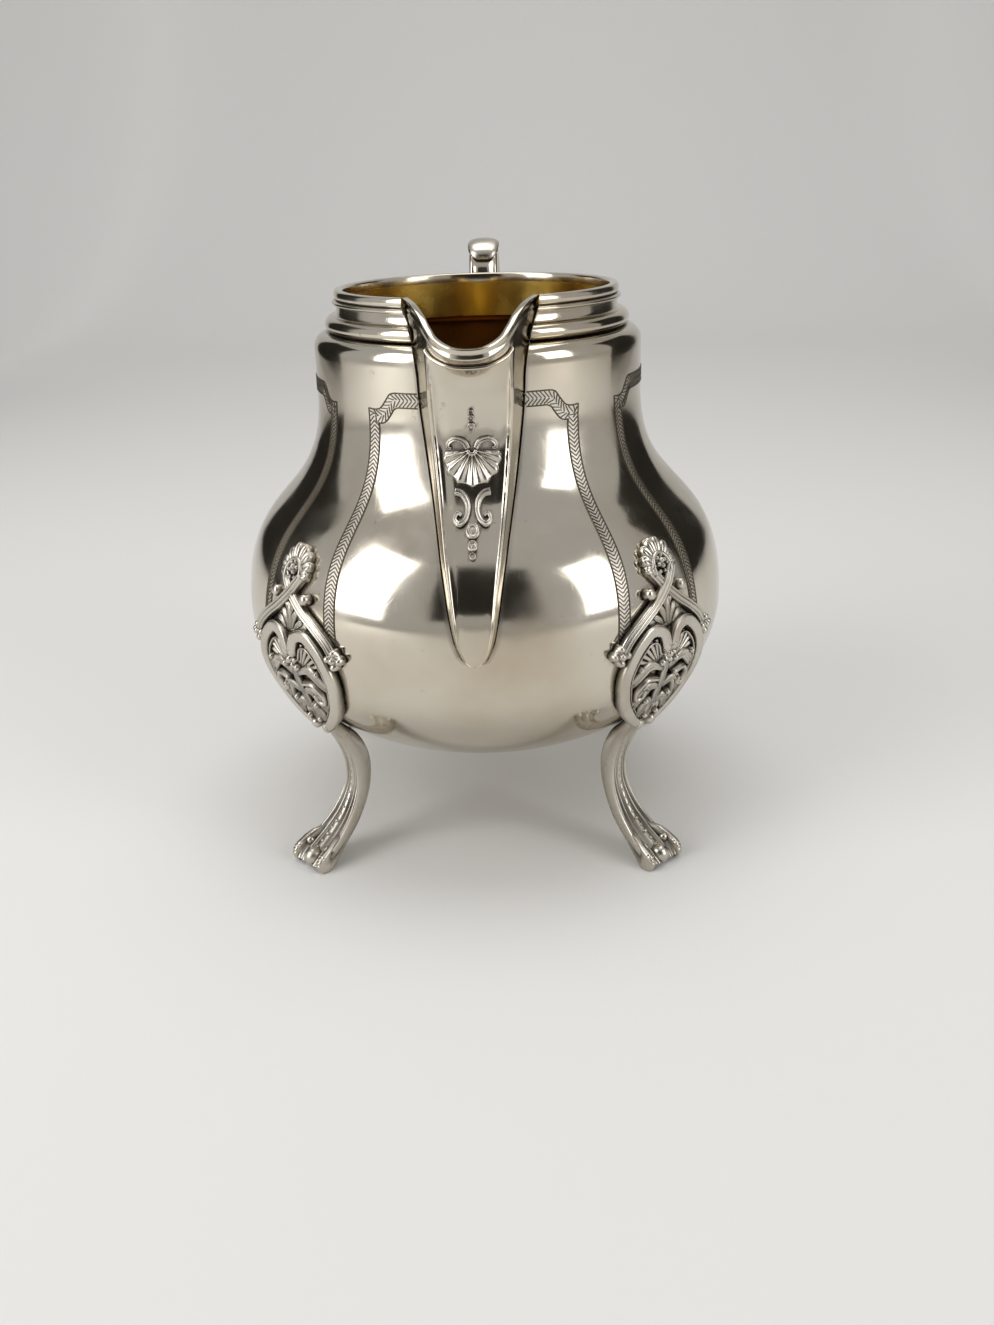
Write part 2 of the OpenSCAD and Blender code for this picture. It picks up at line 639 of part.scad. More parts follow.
// Field of the crossing: a thin plate between the straps
field_way_shares = [0.97, 1.14, 1.3];
field_swell_shares = [0.85, 0.6, 0.06];
field_w_share = 1.1;
field_t_share = 0.35;
field_section_shares = [[-1, 0], [0, 0], [1, 0], [1, 1], [0, 1], [-1, 1]];
module field() {
    foot_strip([for (w = field_way_shares) foot_place([0, w])], field_w_share * cartouche_w / 2,
               band_t * field_t_share, field_section_shares, field_swell_shares);
}

rosette_petal_share = 0.18;
rosette_steps = 8;
trefoil_shares = [0.37, 1.285];
flower_share = 0.73;
module leaf(path, swell) {
    foot_strip(path, leaf_w_share * cartouche_w / 2, band_t * leaf_t_share, leaf_ridge_shares, swell);
}
module cartouche() {
    mirror_pair() {
        band = foot_line(scroll_line_shares, line_steps);
        foot_strip(band, band_w, band_t, flat_band_shares, even_shares(band));
        foot_boss(band[0], band_w, band_t, boss_steps, 0);
        strap = foot_line(strap_line_shares, 1);
        foot_strip(strap, strap_w, band_t * leaf_t_share, round_band_shares, even_shares(strap));
        foot_boss(strap[len(strap) - 1], rosette_d, band_t, rosette_steps, rosette_petal_share);
        foot_boss(foot_place(trefoil_shares), strap_w, band_t * leaf_t_share, boss_steps, 0);
        for (line = leaf_shares)
            leaf(foot_line(line, 1), leaf_swell_shares);
    }
    stem = foot_line(stem_shares, 1);
    leaf(stem, even_shares(stem));
    foot_boss(foot_place([0, flower_share]), rosette_d, band_t, rosette_steps, rosette_petal_share);
}

// The leg's front in three parts: its root behind the cartouche, as shares of band_t in front of the
// foot's surface and of cartouche_l, then [out, up] as shares of the way from the knee's reach to the
// toe's and of knee_drop over the knee, and the same with knee_h under it
leg_root_shares = [[0.38, 0.27], [0.55, 0.094], [-0.14, -0.098]];
shin_shares = [[0.135, 0.512], [0.015, 0.138]];
ankle_shares = [[0.03, 0.82], [0.22, 0.55], [0.51, 0.34], [0.85, 0.16], [0.98, 0.06]];
leg_line = smooth(concat(
    [for (q = leg_root_shares)
        let (z = cartouche_foot_h + q[1] * cartouche_l) [foot_r(z) + q[0] * band_t, z]],
    [for (q = shin_shares) [knee_reach + q[0] * (toe_reach - knee_reach), knee_h + q[1] * knee_drop]],
    [for (q = ankle_shares) [knee_reach + q[0] * (toe_reach - knee_reach), q[1] * knee_h]]), line_steps);
// The leg's width and depth at each of those places, as shares of knee_w and of leg_t
leg_width_shares = [1.3, 1.5, 1.2, 1.04, 1, 1.15, 1.5, 1.9, 2.15, 1.9];
leg_depth_shares = [0.16, 0.38, 0.58, 0.92, 1.05, 1, 0.95, 0.85, 0.7, 0.5];
leg_section_shares = [[-1, 0.08], [-0.4, 0.18], [0, 0], [0.4, 0.18], [1, 0.08], [0.7, 1], [-0.7, 1]];
// A leg's back that comes near the body follows it with the foot's clearance
function leg_room(p, t, depth) = (p[0] - body_r(p[1] - depth * t[0]) - foot_gap) / -t[1];
module leg() {
    halves = smooth(leg_width_shares, line_steps) * knee_w / 2;
    depths = smooth(leg_depth_shares, line_steps) * leg_t;
    tube(reversed([for (i = [0:len(leg_line) - 1])
        let (p = leg_line[i], t = heading(leg_line, i), full = depths[i],
             depth = p[1] > knee_h ? min(full, leg_room(p, t, full)) : full)
        [for (q = leg_section_shares)
            [q[0] * halves[i], -p[0] - q[1] * depth * t[1], p[1] - q[1] * depth * t[0]]]]));
}

// The toe: a ball held between two scroll flanges, cut flat where it stands on the table
toe_steps = 8;
flange_t_share = 0.34;
flange_nose_share = 1.05;
flange_back_d_share = 0.6;
flange_back_share = 1.35;
flange_rise_share = 1.15;
module toe() {
    ball_reach = toe_reach - toe_ball_d / 2;
    ball_h = toe_ball_d / 2 - toe_filed;
    hull()
        translate([0, -ball_reach, ball_h]) sphere(d = toe_ball_d, $fn = toe_steps);
    mirror_pair()
        hull() {
            flange(ball_reach, ball_h, flange_nose_share * toe_ball_d);
            flange(ball_reach - flange_back_share * toe_ball_d, flange_rise_share * toe_ball_d,
                   flange_back_d_share * toe_ball_d);
        }
}
module flange(reach, height, d) {
    t = flange_t_share * toe_ball_d;
    translate([toe_w / 2 - t, -reach, height])
        rotate([0, right_angle, 0]) cylinder(d = d, h = t, $fn = toe_steps);
}

// Small balls join the lower ends of the scroll bands to the leg
root_ball_shares = [0.15, 0.01];
module root_balls() {
    mirror_pair()
        hull()
            translate(on_foot(concat(foot_place(root_ball_shares), band_t / 2)))
                sphere(d = band_w, $fn = boss_steps);
}

module foot(turn) {
    color("silver") placed()
        rotate([0, 0, turn])
            difference() {
                union() {
                    crest();
                    field();
                    cartouche();
                    root_balls();
                    leg();
                    toe();
                }
                translate([-toe_w, -toe_reach - toe_w, -toe_w])
                    cube([2 * toe_w, toe_reach + toe_w, toe_w]);
            }
}
module foot_front_left() { foot(-foot_turn); }
module foot_front_right() { foot(foot_turn); }
module foot_back_left() { foot(foot_turn - half_turn); }
module foot_back_right() { foot(half_turn - foot_turn); }

/* Handle */

// The two joints are shaped plates that lie on the body: the middle and the reach of each
plate_way_shares = [-1, -0.85, -0.5, 0, 0.4, 0.75, 0.9];
plate_drop_share = 0.17;
handle_root_h = shoulder_h - handle_root_drop;
handle_foot_h = belly_h + handle_foot_rise;
root_plate_h = handle_root_h - plate_drop_share * joint_w;
function plate_reach(height) =
    max([for (w = plate_way_shares) body_r(height + w * joint_w / 2)]) + seat_gap + joint_t;

root_y = plate_reach(root_plate_h) + seat_gap;
foot_y = plate_reach(handle_foot_h) + solder_gap + handle_t / 2;
back_y = handle_reach - handle_t / 2;
top_h = rim_h + handle_rise - leaf_t - handle_t / 2 - 2 * solder_gap;
// The handle's line: off the neck, round the loop and into the volute at its foot
rise_shares = [[0, 0], [0.7, 0.03], [1.2, 0.95]];
loop_shares = [[0.125, 0.8], [0.15, 0.925], [0.25, 0.99], [0.42, 0.997], [0.66, 0.925], [0.87, 0.76],
               [0.99, 0.56], [0.985, 0.37], [0.86, 0.2], [0.68, 0.09]];
volute_shares = [[0, 0], [0, -1.1], [0.4, -2], [1.35, -2.05], [1.8, -1.25], [1.25, -0.6]];
handle_line = smooth(concat(
    [for (q = rise_shares) [root_y + q[0] * handle_t, handle_root_h + q[1] * handle_t]],
    [for (q = loop_shares)
        [root_y + q[0] * (back_y - root_y), handle_foot_h + q[1] * (top_h - handle_foot_h)]],
    [for (q = volute_shares) [foot_y + q[0] * handle_t, handle_foot_h + q[1] * handle_t]]), line_steps);
handle_section_shares = [[-1, -0.3], [-0.6, -0.85], [0, -1], [0.6, -0.85], [1, -0.3], [1, 0.4], [0.85, 1],
                         [-0.85, 1], [-1, 0.4]];
handle_thin_share = 0.7;
handle_full_share = 0.7;
// The handle is fullest at its top and narrows to both ends
function handle_share(i) =
    handle_thin_share + (1 - handle_thin_share)
        * pow(sin(half_turn * i / (len(handle_line) - 1)), handle_full_share);
function handle_inner(i) = let (t = heading(handle_line, i)) [t[1], -t[0]];
function handle_point(i, x, depth) =
    let (n = handle_inner(i)) [x, handle_line[i][0] + depth * n[0], handle_line[i][1] + depth * n[1]];

module handle() {
    color("silver") placed()
        tube([for (i = [0:len(handle_line) - 1])
            [for (q = handle_section_shares)
                handle_point(i, q[0] * handle_share(i) * handle_w / 2, q[1] * handle_t / 2)]]);
}

// The thumb leaf lies over the top of the loop, from its second place on
leaf_start = line_steps * (len(rise_shares) + 1);
thumb_swell_shares = [0.15, 0.7, 1, 0.95, 0.75, 0.45, 0.12];
thumb_section_shares = [[-1, -0.3], [-0.5, -0.75], [0, -1], [0.5, -0.75], [1, -0.3], [1, 0], [-1, 0]];
module handle_leaf() {
    color("silver") placed()
        tube([for (i = [0:len(thumb_swell_shares) - 1])
            [for (q = thumb_section_shares)
                handle_point(leaf_start + i, q[0] * thumb_swell_shares[i] * leaf_w / 2,
                             q[1] * leaf_t - handle_t / 2 - solder_gap)]]);
}

plate_section_shares = [[-1, 0], [-0.5, 0], [0, 0], [0.5, 0], [1, 0], [0.9, 0.8], [0.45, 1], [0, 1],
                        [-0.45, 1], [-0.9, 0.8]];
plate_swell_shares = [0.12, 0.4, 0.85, 1, 0.85, 0.5, 0.15];
module joint_plate(height) {
    path = [for (w = plate_way_shares) [0, height + w * joint_w / 2]];
    rings = strip_rings(path, joint_w, joint_t, plate_section_shares, plate_swell_shares);
    rotate([0, 0, half_turn])
        tube([for (ring = rings) [for (q = ring) on_body(q[0], q[1], q[2] + seat_gap)]]);
}
module handle_upper_joint() {
    color("silver") placed() joint_plate(root_plate_h);
}
module handle_lower_joint() {
    color("silver") placed() joint_plate(handle_foot_h);
}

body();
collar();
rim_wire();
spout();
spout_lip();
lip_fillet();
spout_shell();
spout_scrolls();
spout_pellets();
spout_drops();
foot_front_left();
foot_front_right();
foot_back_left();
foot_back_right();
handle();
handle_leaf();
handle_upper_joint();
handle_lower_joint();
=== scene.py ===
"""Dresses the silver-plated milk jug: body, collar, spout, four cast feet and scroll handle.

Sizes are in millimetres in the jug's own place, with its axis upright through x = y = 0, and every
mesh is moved to the shared frame, in metres, when it is made.
"""

import logging
import math
from dataclasses import dataclass, field
from enum import Enum
from typing import Callable, Optional, Sequence

import bmesh
import bpy
import numpy as np
from mathutils import Matrix, Vector
from mathutils.bvhtree import BVHTree
from mathutils.geometry import tessellate_polygon


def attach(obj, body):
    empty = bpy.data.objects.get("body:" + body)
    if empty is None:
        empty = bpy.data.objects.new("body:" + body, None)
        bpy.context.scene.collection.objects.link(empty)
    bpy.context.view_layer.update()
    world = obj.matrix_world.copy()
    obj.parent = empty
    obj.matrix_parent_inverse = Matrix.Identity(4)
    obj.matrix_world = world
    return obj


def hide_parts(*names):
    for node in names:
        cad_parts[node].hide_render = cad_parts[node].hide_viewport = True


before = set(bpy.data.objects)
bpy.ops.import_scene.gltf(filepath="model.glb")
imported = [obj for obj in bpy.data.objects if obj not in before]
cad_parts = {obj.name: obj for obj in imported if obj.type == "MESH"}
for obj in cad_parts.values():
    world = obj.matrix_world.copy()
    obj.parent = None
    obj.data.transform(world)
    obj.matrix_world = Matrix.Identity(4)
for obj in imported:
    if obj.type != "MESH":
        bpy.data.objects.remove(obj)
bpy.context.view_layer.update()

LOG = logging.getLogger("milk_jug")

# A millimetre in metres, the jug's axis in front of the shared origin, and the body that all pieces ride on
MM = 0.001
AXIS_Y = -6.94
BODY = "root"

# Clearance of a soldered joint, and the distance under which the points of a revolved piece are one
SOLDER = 0.05
MERGE = 0.002

Array = np.ndarray


class Slot(Enum):
    """The record's material slots."""

    PLATE = "silver_plate"
    CAST = "cast_silver"


class Skin(Enum):
    """The finishes that a piece can wear."""

    PLATE = "polished silver plate"
    CAST = "cast and chased silver"
    GILT = "gilt inside"
    # Painted shade: the belly's inside under the shoulder's step is gilt coloured darker, as if in shade.
    SHADED_GILT = "gilt of the belly in painted shade"
    ENGRAVED = "engraved line"
    BRIGHT_CUT = "bright cut stroke"
    FROSTED = "frosted band"


# Curves and grids


def bezier(a: Sequence[float], b: Sequence[float], c: Sequence[float], d: Sequence[float], n: int) -> Array:
    """Samples a cubic curve.

    Args:
        a, b, c, d: The curve's four control points.
        n: The number of spans.

    Returns:
        The n + 1 points of the curve.
    """
    t = np.linspace(0, 1, n + 1)[:, None]
    a, b, c, d = (np.asarray(p, float) for p in (a, b, c, d))
    return (1 - t) ** 3 * a + 3 * (1 - t) ** 2 * t * b + 3 * (1 - t) * t * t * c + t ** 3 * d


def smooth(points: Sequence[Sequence[float]], n: int) -> Array:
    """Runs a smooth curve through every point of a list.

    Args:
        points: The points that the curve passes.
        n: The number of steps between two neighbours.

    Returns:
        The points of the curve, ends included.
    """
    p = np.asarray(points, float)
    last = len(p) - 1
    out = []
    for k in range(last):
        a, b, c, d = p[max(k - 1, 0)], p[k], p[k + 1], p[min(k + 2, last)]
        for i in range(n):
            t = i / n
            out.append((2 * b + (c - a) * t + (2 * a - 5 * b + 4 * c - d) * t * t
                        + (3 * b - a - 3 * c + d) * t ** 3) / 2)
    out.append(p[last])
    return np.array(out)


def headings(path: Array) -> Array:
    """Finds the way that a path runs.

    Args:
        path: The path's points.

    Returns:
        The unit direction at each of them.
    """
    ahead = np.vstack([path[1:], path[-1:]])
    behind = np.vstack([path[:1], path[:-1]])
    d = ahead - behind
    return d / np.maximum(np.linalg.norm(d, axis=1, keepdims=True), 1e-9)


class Swell(Enum):
    """How a strip's width runs from its first ring to its last."""

    EVEN = "even"
    FADE = "thin at its far end"
    BUD = "thin at both ends, widest past its middle"


def swell(kind: Swell, n: int, end: float = 0.3) -> Array:
    """Gives the width of a strip at each ring, as a share of its full width.

    Args:
        kind: How the width runs.
        n: The number of rings.
        end: The share that is left at a thin end.

    Returns:
        One share for each ring.
    """
    t = np.linspace(0, 1, n)
    if kind is Swell.FADE:
        return 1 - (1 - end) * t
    if kind is Swell.BUD:
        return end + (1 - end) * np.sin(np.pi * t ** 1.6) ** 0.8
    return np.ones(n)


def by_side(values: Array, side: int) -> Array:
    """Returns values in their own order for the right side, 1, and turned round for the left, -1."""
    return values if side > 0 else values[::-1]


class Mould:
    """Collects the vertices and faces of one piece, in millimetres in the jug's own place."""

    def __init__(self) -> None:
        """Starts an empty piece."""
        self.points: list[Array] = []
        self.faces: list[tuple[int, ...]] = []
        self.skins: list[int] = []
        self.count = 0

    def _add(self, points: Array) -> int:
        """Adds points.

        Args:
            points: The points, in millimetres.

        Returns:
            The index of the first of them.
        """
        start = self.count
        self.points.append(np.asarray(points, float).reshape(-1, 3))
        self.count += len(self.points[-1])
        return start

    def tube(self, rings: Sequence[Array]) -> None:
        """Adds a tube through rings of points, capped at both ends.

        Args:
            rings: Rings with one number of points, each running counter-clockwise about the way ahead.
        """
        r = np.asarray(rings, float)
        n, m = r.shape[:2]
        s = self._add(r)
        for i in range(n - 1):
            a, b = s + i * m, s + (i + 1) * m
            for j in range(m):
                k = (j + 1) % m
                self.faces.append((a + j, a + k, b + k, b + j))
        for ring, base, flip in ((r[0], s, True), (r[-1], s + (n - 1) * m, False)):
            mid = self._add(ring.mean(0))
            for j in range(m):
                k = (j + 1) % m
                self.faces.append((mid, base + k, base + j) if flip else (mid, base + j, base + k))
        self.skins += [0] * (m * (n + 1))

    def lathe(self, profile: Array, start: Array, n: int, skins: Optional[Sequence[int]] = None) -> None:
        """Turns a closed profile round the jug's axis, leaving a notch at the front.

        Args:
            profile: The outline as [radius, height], running counter-clockwise.
            start: For each point of it, the angle from the front at which the metal begins, in radians.
            n: The number of columns.
            skins: For each edge of the outline, the index of its material.
        """
        t = np.linspace(0, 1, n + 1)
        angle = start[None, :] + (2 * np.pi - 2 * start[None, :]) * t[:, None]
        r = profile[:, 0][None, :]
        grid = np.stack([r * np.sin(angle), -r * np.cos(angle),
                         np.broadcast_to(profile[:, 1][None, :], angle.shape)], -1)
        m = len(profile)
        s = self._add(grid)
        for i in range(n):
            for j in range(m):
                k = (j + 1) % m
                a, b = s + i * m, s + (i + 1) * m
                self.faces.append((a + j, b + j, b + k, a + k))
                self.skins.append(skins[j] if skins is not None else 0)
        if float(start.max()) > 0:
            for base, flip in ((s, False), (s + n * m, True)):
                self.end_cap(base, m, profile, start, flip)

    def end_cap(self, base: int, m: int, profile: Array, start: Array, flip: bool) -> None:
        """Closes the cut end of a turned profile with triangles.

        Args:
            base: The index of the end's first point.
            m: The number of points in the outline.
            profile: The outline.
            start: The angle at which each point's metal begins; where it is 0 there is no end to close.
            flip: Whether the faces are turned round.
        """
        keep = [j for j in range(m) if start[j] > 1e-6]
        outline = [Vector((profile[j, 0], profile[j, 1], 0)) for j in keep]
        for a, b, c in tessellate_polygon([outline]):
            turn = (outline[b] - outline[a]).cross(outline[c] - outline[a]).z
            ids = tuple(base + keep[k] for k in ((a, b, c) if turn > 0 else (a, c, b)))
            self.faces.append(ids[::-1] if flip else ids)
            self.skins.append(0)

    def sheet(self, outer: Array, inner: Array, skin_outer: int = 0, skin_inner: int = 0) -> None:
        """Adds a sheet between two grids of points, closed along its four edges.

        Args:
            outer: The outer side's grid.
            inner: The inner side's grid, point for point behind the outer.
            skin_outer: The index of the outer side's material, which the edges take too.
            skin_inner: The index of the inner side's material.
        """
        n, m = outer.shape[:2]
        o, q = self._add(outer), self._add(inner)
        for i in range(n - 1):
            for j in range(m - 1):
                a, b, c, d = i * m + j, i * m + j + 1, (i + 1) * m + j, (i + 1) * m + j + 1
                self.faces.append((o + a, o + b, o + d, o + c))
                self.skins.append(skin_outer)
                self.faces.append((q + b, q + a, q + c, q + d))
                self.skins.append(skin_inner)
        for j in range(m - 1):
            self.faces.append((o + j + 1, o + j, q + j, q + j + 1))
            top = (n - 1) * m + j
            self.faces.append((o + top, o + top + 1, q + top + 1, q + top))
            self.skins += [skin_outer, skin_outer]
        for i in range(n - 1):
            a, c = i * m, (i + 1) * m
            self.faces.append((o + a, o + c, q + c, q + a))
            a, c = i * m + m - 1, (i + 1) * m + m - 1
            self.faces.append((o + c, o + a, q + a, q + c))
            self.skins += [skin_outer, skin_outer]

    def ball(self, middle: Array, radii: Sequence[float], steps: int = 12) -> None:
        """Adds a round bead.

        Args:
            middle: Its middle.
            radii: Its three half axes.
            steps: The number of sides round it.
        """
        rings = []
        for i in range(1, steps // 2):
            u = math.pi * i / (steps // 2)
            rings.append([[middle[0] + radii[0] * math.sin(u) * math.cos(2 * math.pi * j / steps),
                           middle[1] + radii[1] * math.sin(u) * math.sin(2 * math.pi * j / steps),
                           middle[2] - radii[2] * math.cos(u)] for j in range(steps)])
        self.tube(rings)

    def turned(self, degrees: float) -> "Mould":
        """Makes a copy turned about the jug's axis.

        Args:
            degrees: The turn.

        Returns:
            The copy.
        """
        copy = Mould()
        a = math.radians(degrees)
        spin = np.array([[math.cos(a), -math.sin(a), 0], [math.sin(a), math.cos(a), 0], [0, 0, 1]])
        copy.points = [p @ spin.T for p in self.points]
        copy.faces, copy.skins, copy.count = list(self.faces), list(self.skins), self.count
        return copy

    def piece(self, name: str, skins: Sequence[Skin], merge: float = 0.0) -> bpy.types.Object:
        """Makes the piece's object, placed in the shared frame in metres.

        Args:
            name: The object's name.
            skins: The finishes that its faces use.
            merge: The distance, in millimetres, under which points are merged.

        Returns:
            The new object.
        """
        points = (np.vstack(self.points) + [0, AXIS_Y, 0]) * MM
        mesh = bpy.data.meshes.new(name)
        mesh.from_pydata(points.tolist(), [], self.faces)
        mesh.polygons.foreach_set("material_index", self.skins)
        for skin in skins:
            mesh.materials.append(Finishes.get(skin))
        obj = new_object(name, mesh)
        if merge:
            reshape(obj, lambda shape: bmesh.ops.remove_doubles(shape, verts=shape.verts[:], dist=merge * MM))
        mesh.shade_smooth()
        return obj

    def finish(self, name: str, node: str, slot: Slot, skins: Sequence[Skin], crease: float = 0.0,
               merge: float = 0.0) -> bpy.types.Object:
        """Makes the piece, keeps its sharp edges crisp and ties it to the frame.

        Args:
            name: The object's name.
            node: The CAD node that it stands for.
            slot: The record's slot for the piece, passed on to settle.
            skins: The finishes that its faces use.
            crease: The angle above which edges stay crisp, or 0 to shade them all smooth.
            merge: The distance, in millimetres, under which points are merged.

        Returns:
            The finished piece.
        """
        obj = self.piece(name, skins, merge)
        if crease:
            soften(obj, crease)
        return settle(obj, slot, [node])


def new_object(name: str, data: bpy.types.ID) -> bpy.types.Object:
    """Makes an object and links it to the scene.

    Args:
        name: The object's name.
        data: Its mesh, camera or lamp.

    Returns:
        The object.
    """
    obj = bpy.data.objects.new(name, data)
    bpy.context.scene.collection.objects.link(obj)
    return obj


def reshape(obj: bpy.types.Object, change: Callable[[bmesh.types.BMesh], object]) -> None:
    """Lets a function change a piece's mesh.

    Args:
        obj: The piece.
        change: What is done to the mesh while it is open for changes.
    """
    shape = bmesh.new()
    shape.from_mesh(obj.data)
    change(shape)
    shape.to_mesh(obj.data)
    shape.free()


def soften(obj: bpy.types.Object, degrees: float) -> None:
    """Keeps edges sharper than an angle crisp, and shades the rest smooth.

    Args:
        obj: The piece.
        degrees: The angle.
    """

    def mark(shape: bmesh.types.BMesh) -> None:
        """Marks the edges of the open mesh."""
        for edge in shape.edges:
            edge.smooth = not (len(edge.link_faces) == 2 and edge.calc_face_angle(0) > math.radians(degrees))

    reshape(obj, mark)


def face_outwards(obj: bpy.types.Object) -> None:
    """Turns all the faces of a closed piece outwards."""
    reshape(obj, lambda shape: bmesh.ops.recalc_face_normals(shape, faces=shape.faces[:]))


def settle(obj: bpy.types.Object, slot: Slot, nodes: Sequence[str]) -> bpy.types.Object:
    """Ties a finished piece to the frame.

    Args:
        obj: The finished piece.
        slot: The record's slot for the piece; not used.
        nodes: The CAD nodes that it stands for.

    Returns:
        The same object.
    """
    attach(obj, BODY)
    if nodes:
        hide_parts(*nodes)
    LOG.info("%s: %d faces, stands for %s", obj.name, len(obj.data.polygons), ", ".join(nodes) or "nothing")
    return obj


# Finishes


class Nodes:
    """Small helper that adds and links shader or geometry nodes."""

    def __init__(self, tree: bpy.types.NodeTree) -> None:
        """Keeps the tree that nodes are added to."""
        self.tree = tree

    def add(self, kind: str, **values: object) -> bpy.types.Node:
        """Adds a node.

        Args:
            kind: The node's type.
            values: Its properties by name.

        Returns:
            The node.
        """
        node = self.tree.nodes.new(kind)
        for key, value in values.items():
            setattr(node, key, value)
        return node

    def link(self, a: bpy.types.NodeSocket, b: bpy.types.NodeSocket) -> None:
        """Links an output to an input."""
        self.tree.links.new(a, b)

    def maths(self, operation: str, a: object, b: object = None, clamp: bool = False) -> bpy.types.NodeSocket:
        """Adds a Math node.

        Args:
            operation: What it does.
            a, b: Its inputs, each a socket or a number.
            clamp: Whether the result is kept within 0 and 1.

        Returns:
            Its output.
        """
        node = self.add("ShaderNodeMath", operation=operation, use_clamp=clamp)
        for i, v in enumerate((a, b)):
            if v is None:
                continue
            if isinstance(v, (int, float)):
                node.inputs[i].default_value = v
            else:
                self.link(v, node.inputs[i])
        return node.outputs[0]

    def ramp(self, source: bpy.types.NodeSocket, low: float, high: float) -> bpy.types.NodeSocket:
        """Maps a value smoothly to a mask.

        Args:
            source: The value.
            low, high: Where the mask is 0 and where it is 1.

        Returns:
            The mask.
        """
        node = self.add("ShaderNodeMapRange", interpolation_type="SMOOTHSTEP")
        node.inputs["From Min"].default_value = low
        node.inputs["From Max"].default_value = high
        self.link(source, node.inputs["Value"])
        return node.outputs["Result"]

    def noise(self, scale: float, detail: float, stretch: Optional[Sequence[float]] = None,
              turn: Sequence[float] = (0, 0, 0)) -> bpy.types.NodeSocket:
        """Adds a noise on Object coordinates.

        Args:
            scale: Its scale.
            detail: Its detail.
            stretch: How much it is drawn together along each axis, for a directed pattern.
            turn: How the axes of a directed pattern are turned.

        Returns:
            The noise's value.
        """
        place = self.add("ShaderNodeTexCoord")
        out = place.outputs["Object"]
        if stretch is not None:
            mapping = self.add("ShaderNodeMapping")
            mapping.inputs["Scale"].default_value = stretch
            mapping.inputs["Rotation"].default_value = turn
            self.link(out, mapping.inputs["Vector"])
            out = mapping.outputs["Vector"]
        tex = self.add("ShaderNodeTexNoise")
        tex.inputs["Scale"].default_value = scale
        tex.inputs["Detail"].default_value = detail
        self.link(out, tex.inputs["Vector"])
        return tex.outputs["Fac"]


class Finishes:
    """Builds each finish once and hands it out."""

    made: dict[Skin, bpy.types.Material] = {}

    @classmethod
    def get(cls, skin: Skin) -> bpy.types.Material:
        """Returns the material of a finish, building it on first use."""
        if skin not in cls.made:
            cls.made[skin] = FINISHES[skin].build(skin.value.replace(" ", "_"))
        return cls.made[skin]


def group_sockets(group: bpy.types.NodeTree, inputs: dict[str, float], outputs: Sequence[str]) -> None:
    """Adds float sockets to a node group.

    Args:
        group: The group.
        inputs: The default of each input by name.
        outputs: The names of the outputs.
    """
    for name, value in inputs.items():
        socket = group.interface.new_socket(name, in_out="INPUT", socket_type="NodeSocketFloat")
        socket.default_value = value
    for name in outputs:
        group.interface.new_socket(name, in_out="OUTPUT", socket_type="NodeSocketFloat")


def toning_group() -> bpy.types.NodeTree:
    """Builds the shared group for the toning and handling marks of old plate.

    Returns:
        A group with the outputs Toning (0 clean to 1 toned), Haze (0 to 1) and Scratch height.
    """
    name = "plate_toning"
    if name in bpy.data.node_groups:
        return bpy.data.node_groups[name]
    group = bpy.data.node_groups.new(name, "ShaderNodeTree")
    group_sockets(group, {"Cloud Scale": 30.0, "Spot Scale": 500.0, "Scratch Scale": 260.0},
                  ["Toning", "Haze", "Scratch"])
    n = Nodes(group)
    entry, leave = n.add("NodeGroupInput"), n.add("NodeGroupOutput")
    cloud = n.noise(30, 5)
    spots = n.noise(500, 3)
    haze = n.noise(75, 6)
    scratch_a = n.noise(260, 2, (1, 14, 1), (0.3, 0.1, 0.5))
    scratch_b = n.noise(260, 2, (12, 1, 1), (0.1, 0.6, -0.7))
    for socket, source in ((cloud, "Cloud Scale"), (spots, "Spot Scale"), (scratch_a, "Scratch Scale"),
                           (scratch_b, "Scratch Scale")):
        n.link(entry.outputs[source], socket.node.inputs["Scale"])
    specks = n.ramp(spots, 0.68, 0.76)
    toned = n.maths("MAXIMUM", n.ramp(cloud, 0.45, 0.75), n.maths("MULTIPLY", specks, 0.9))
    n.link(toned, leave.inputs["Toning"])
    n.link(n.ramp(haze, 0.42, 0.7), leave.inputs["Haze"])
    n.link(n.maths("ADD", n.ramp(scratch_a, 0.6, 0.7), n.ramp(scratch_b, 0.62, 0.7)), leave.inputs["Scratch"])
    return group


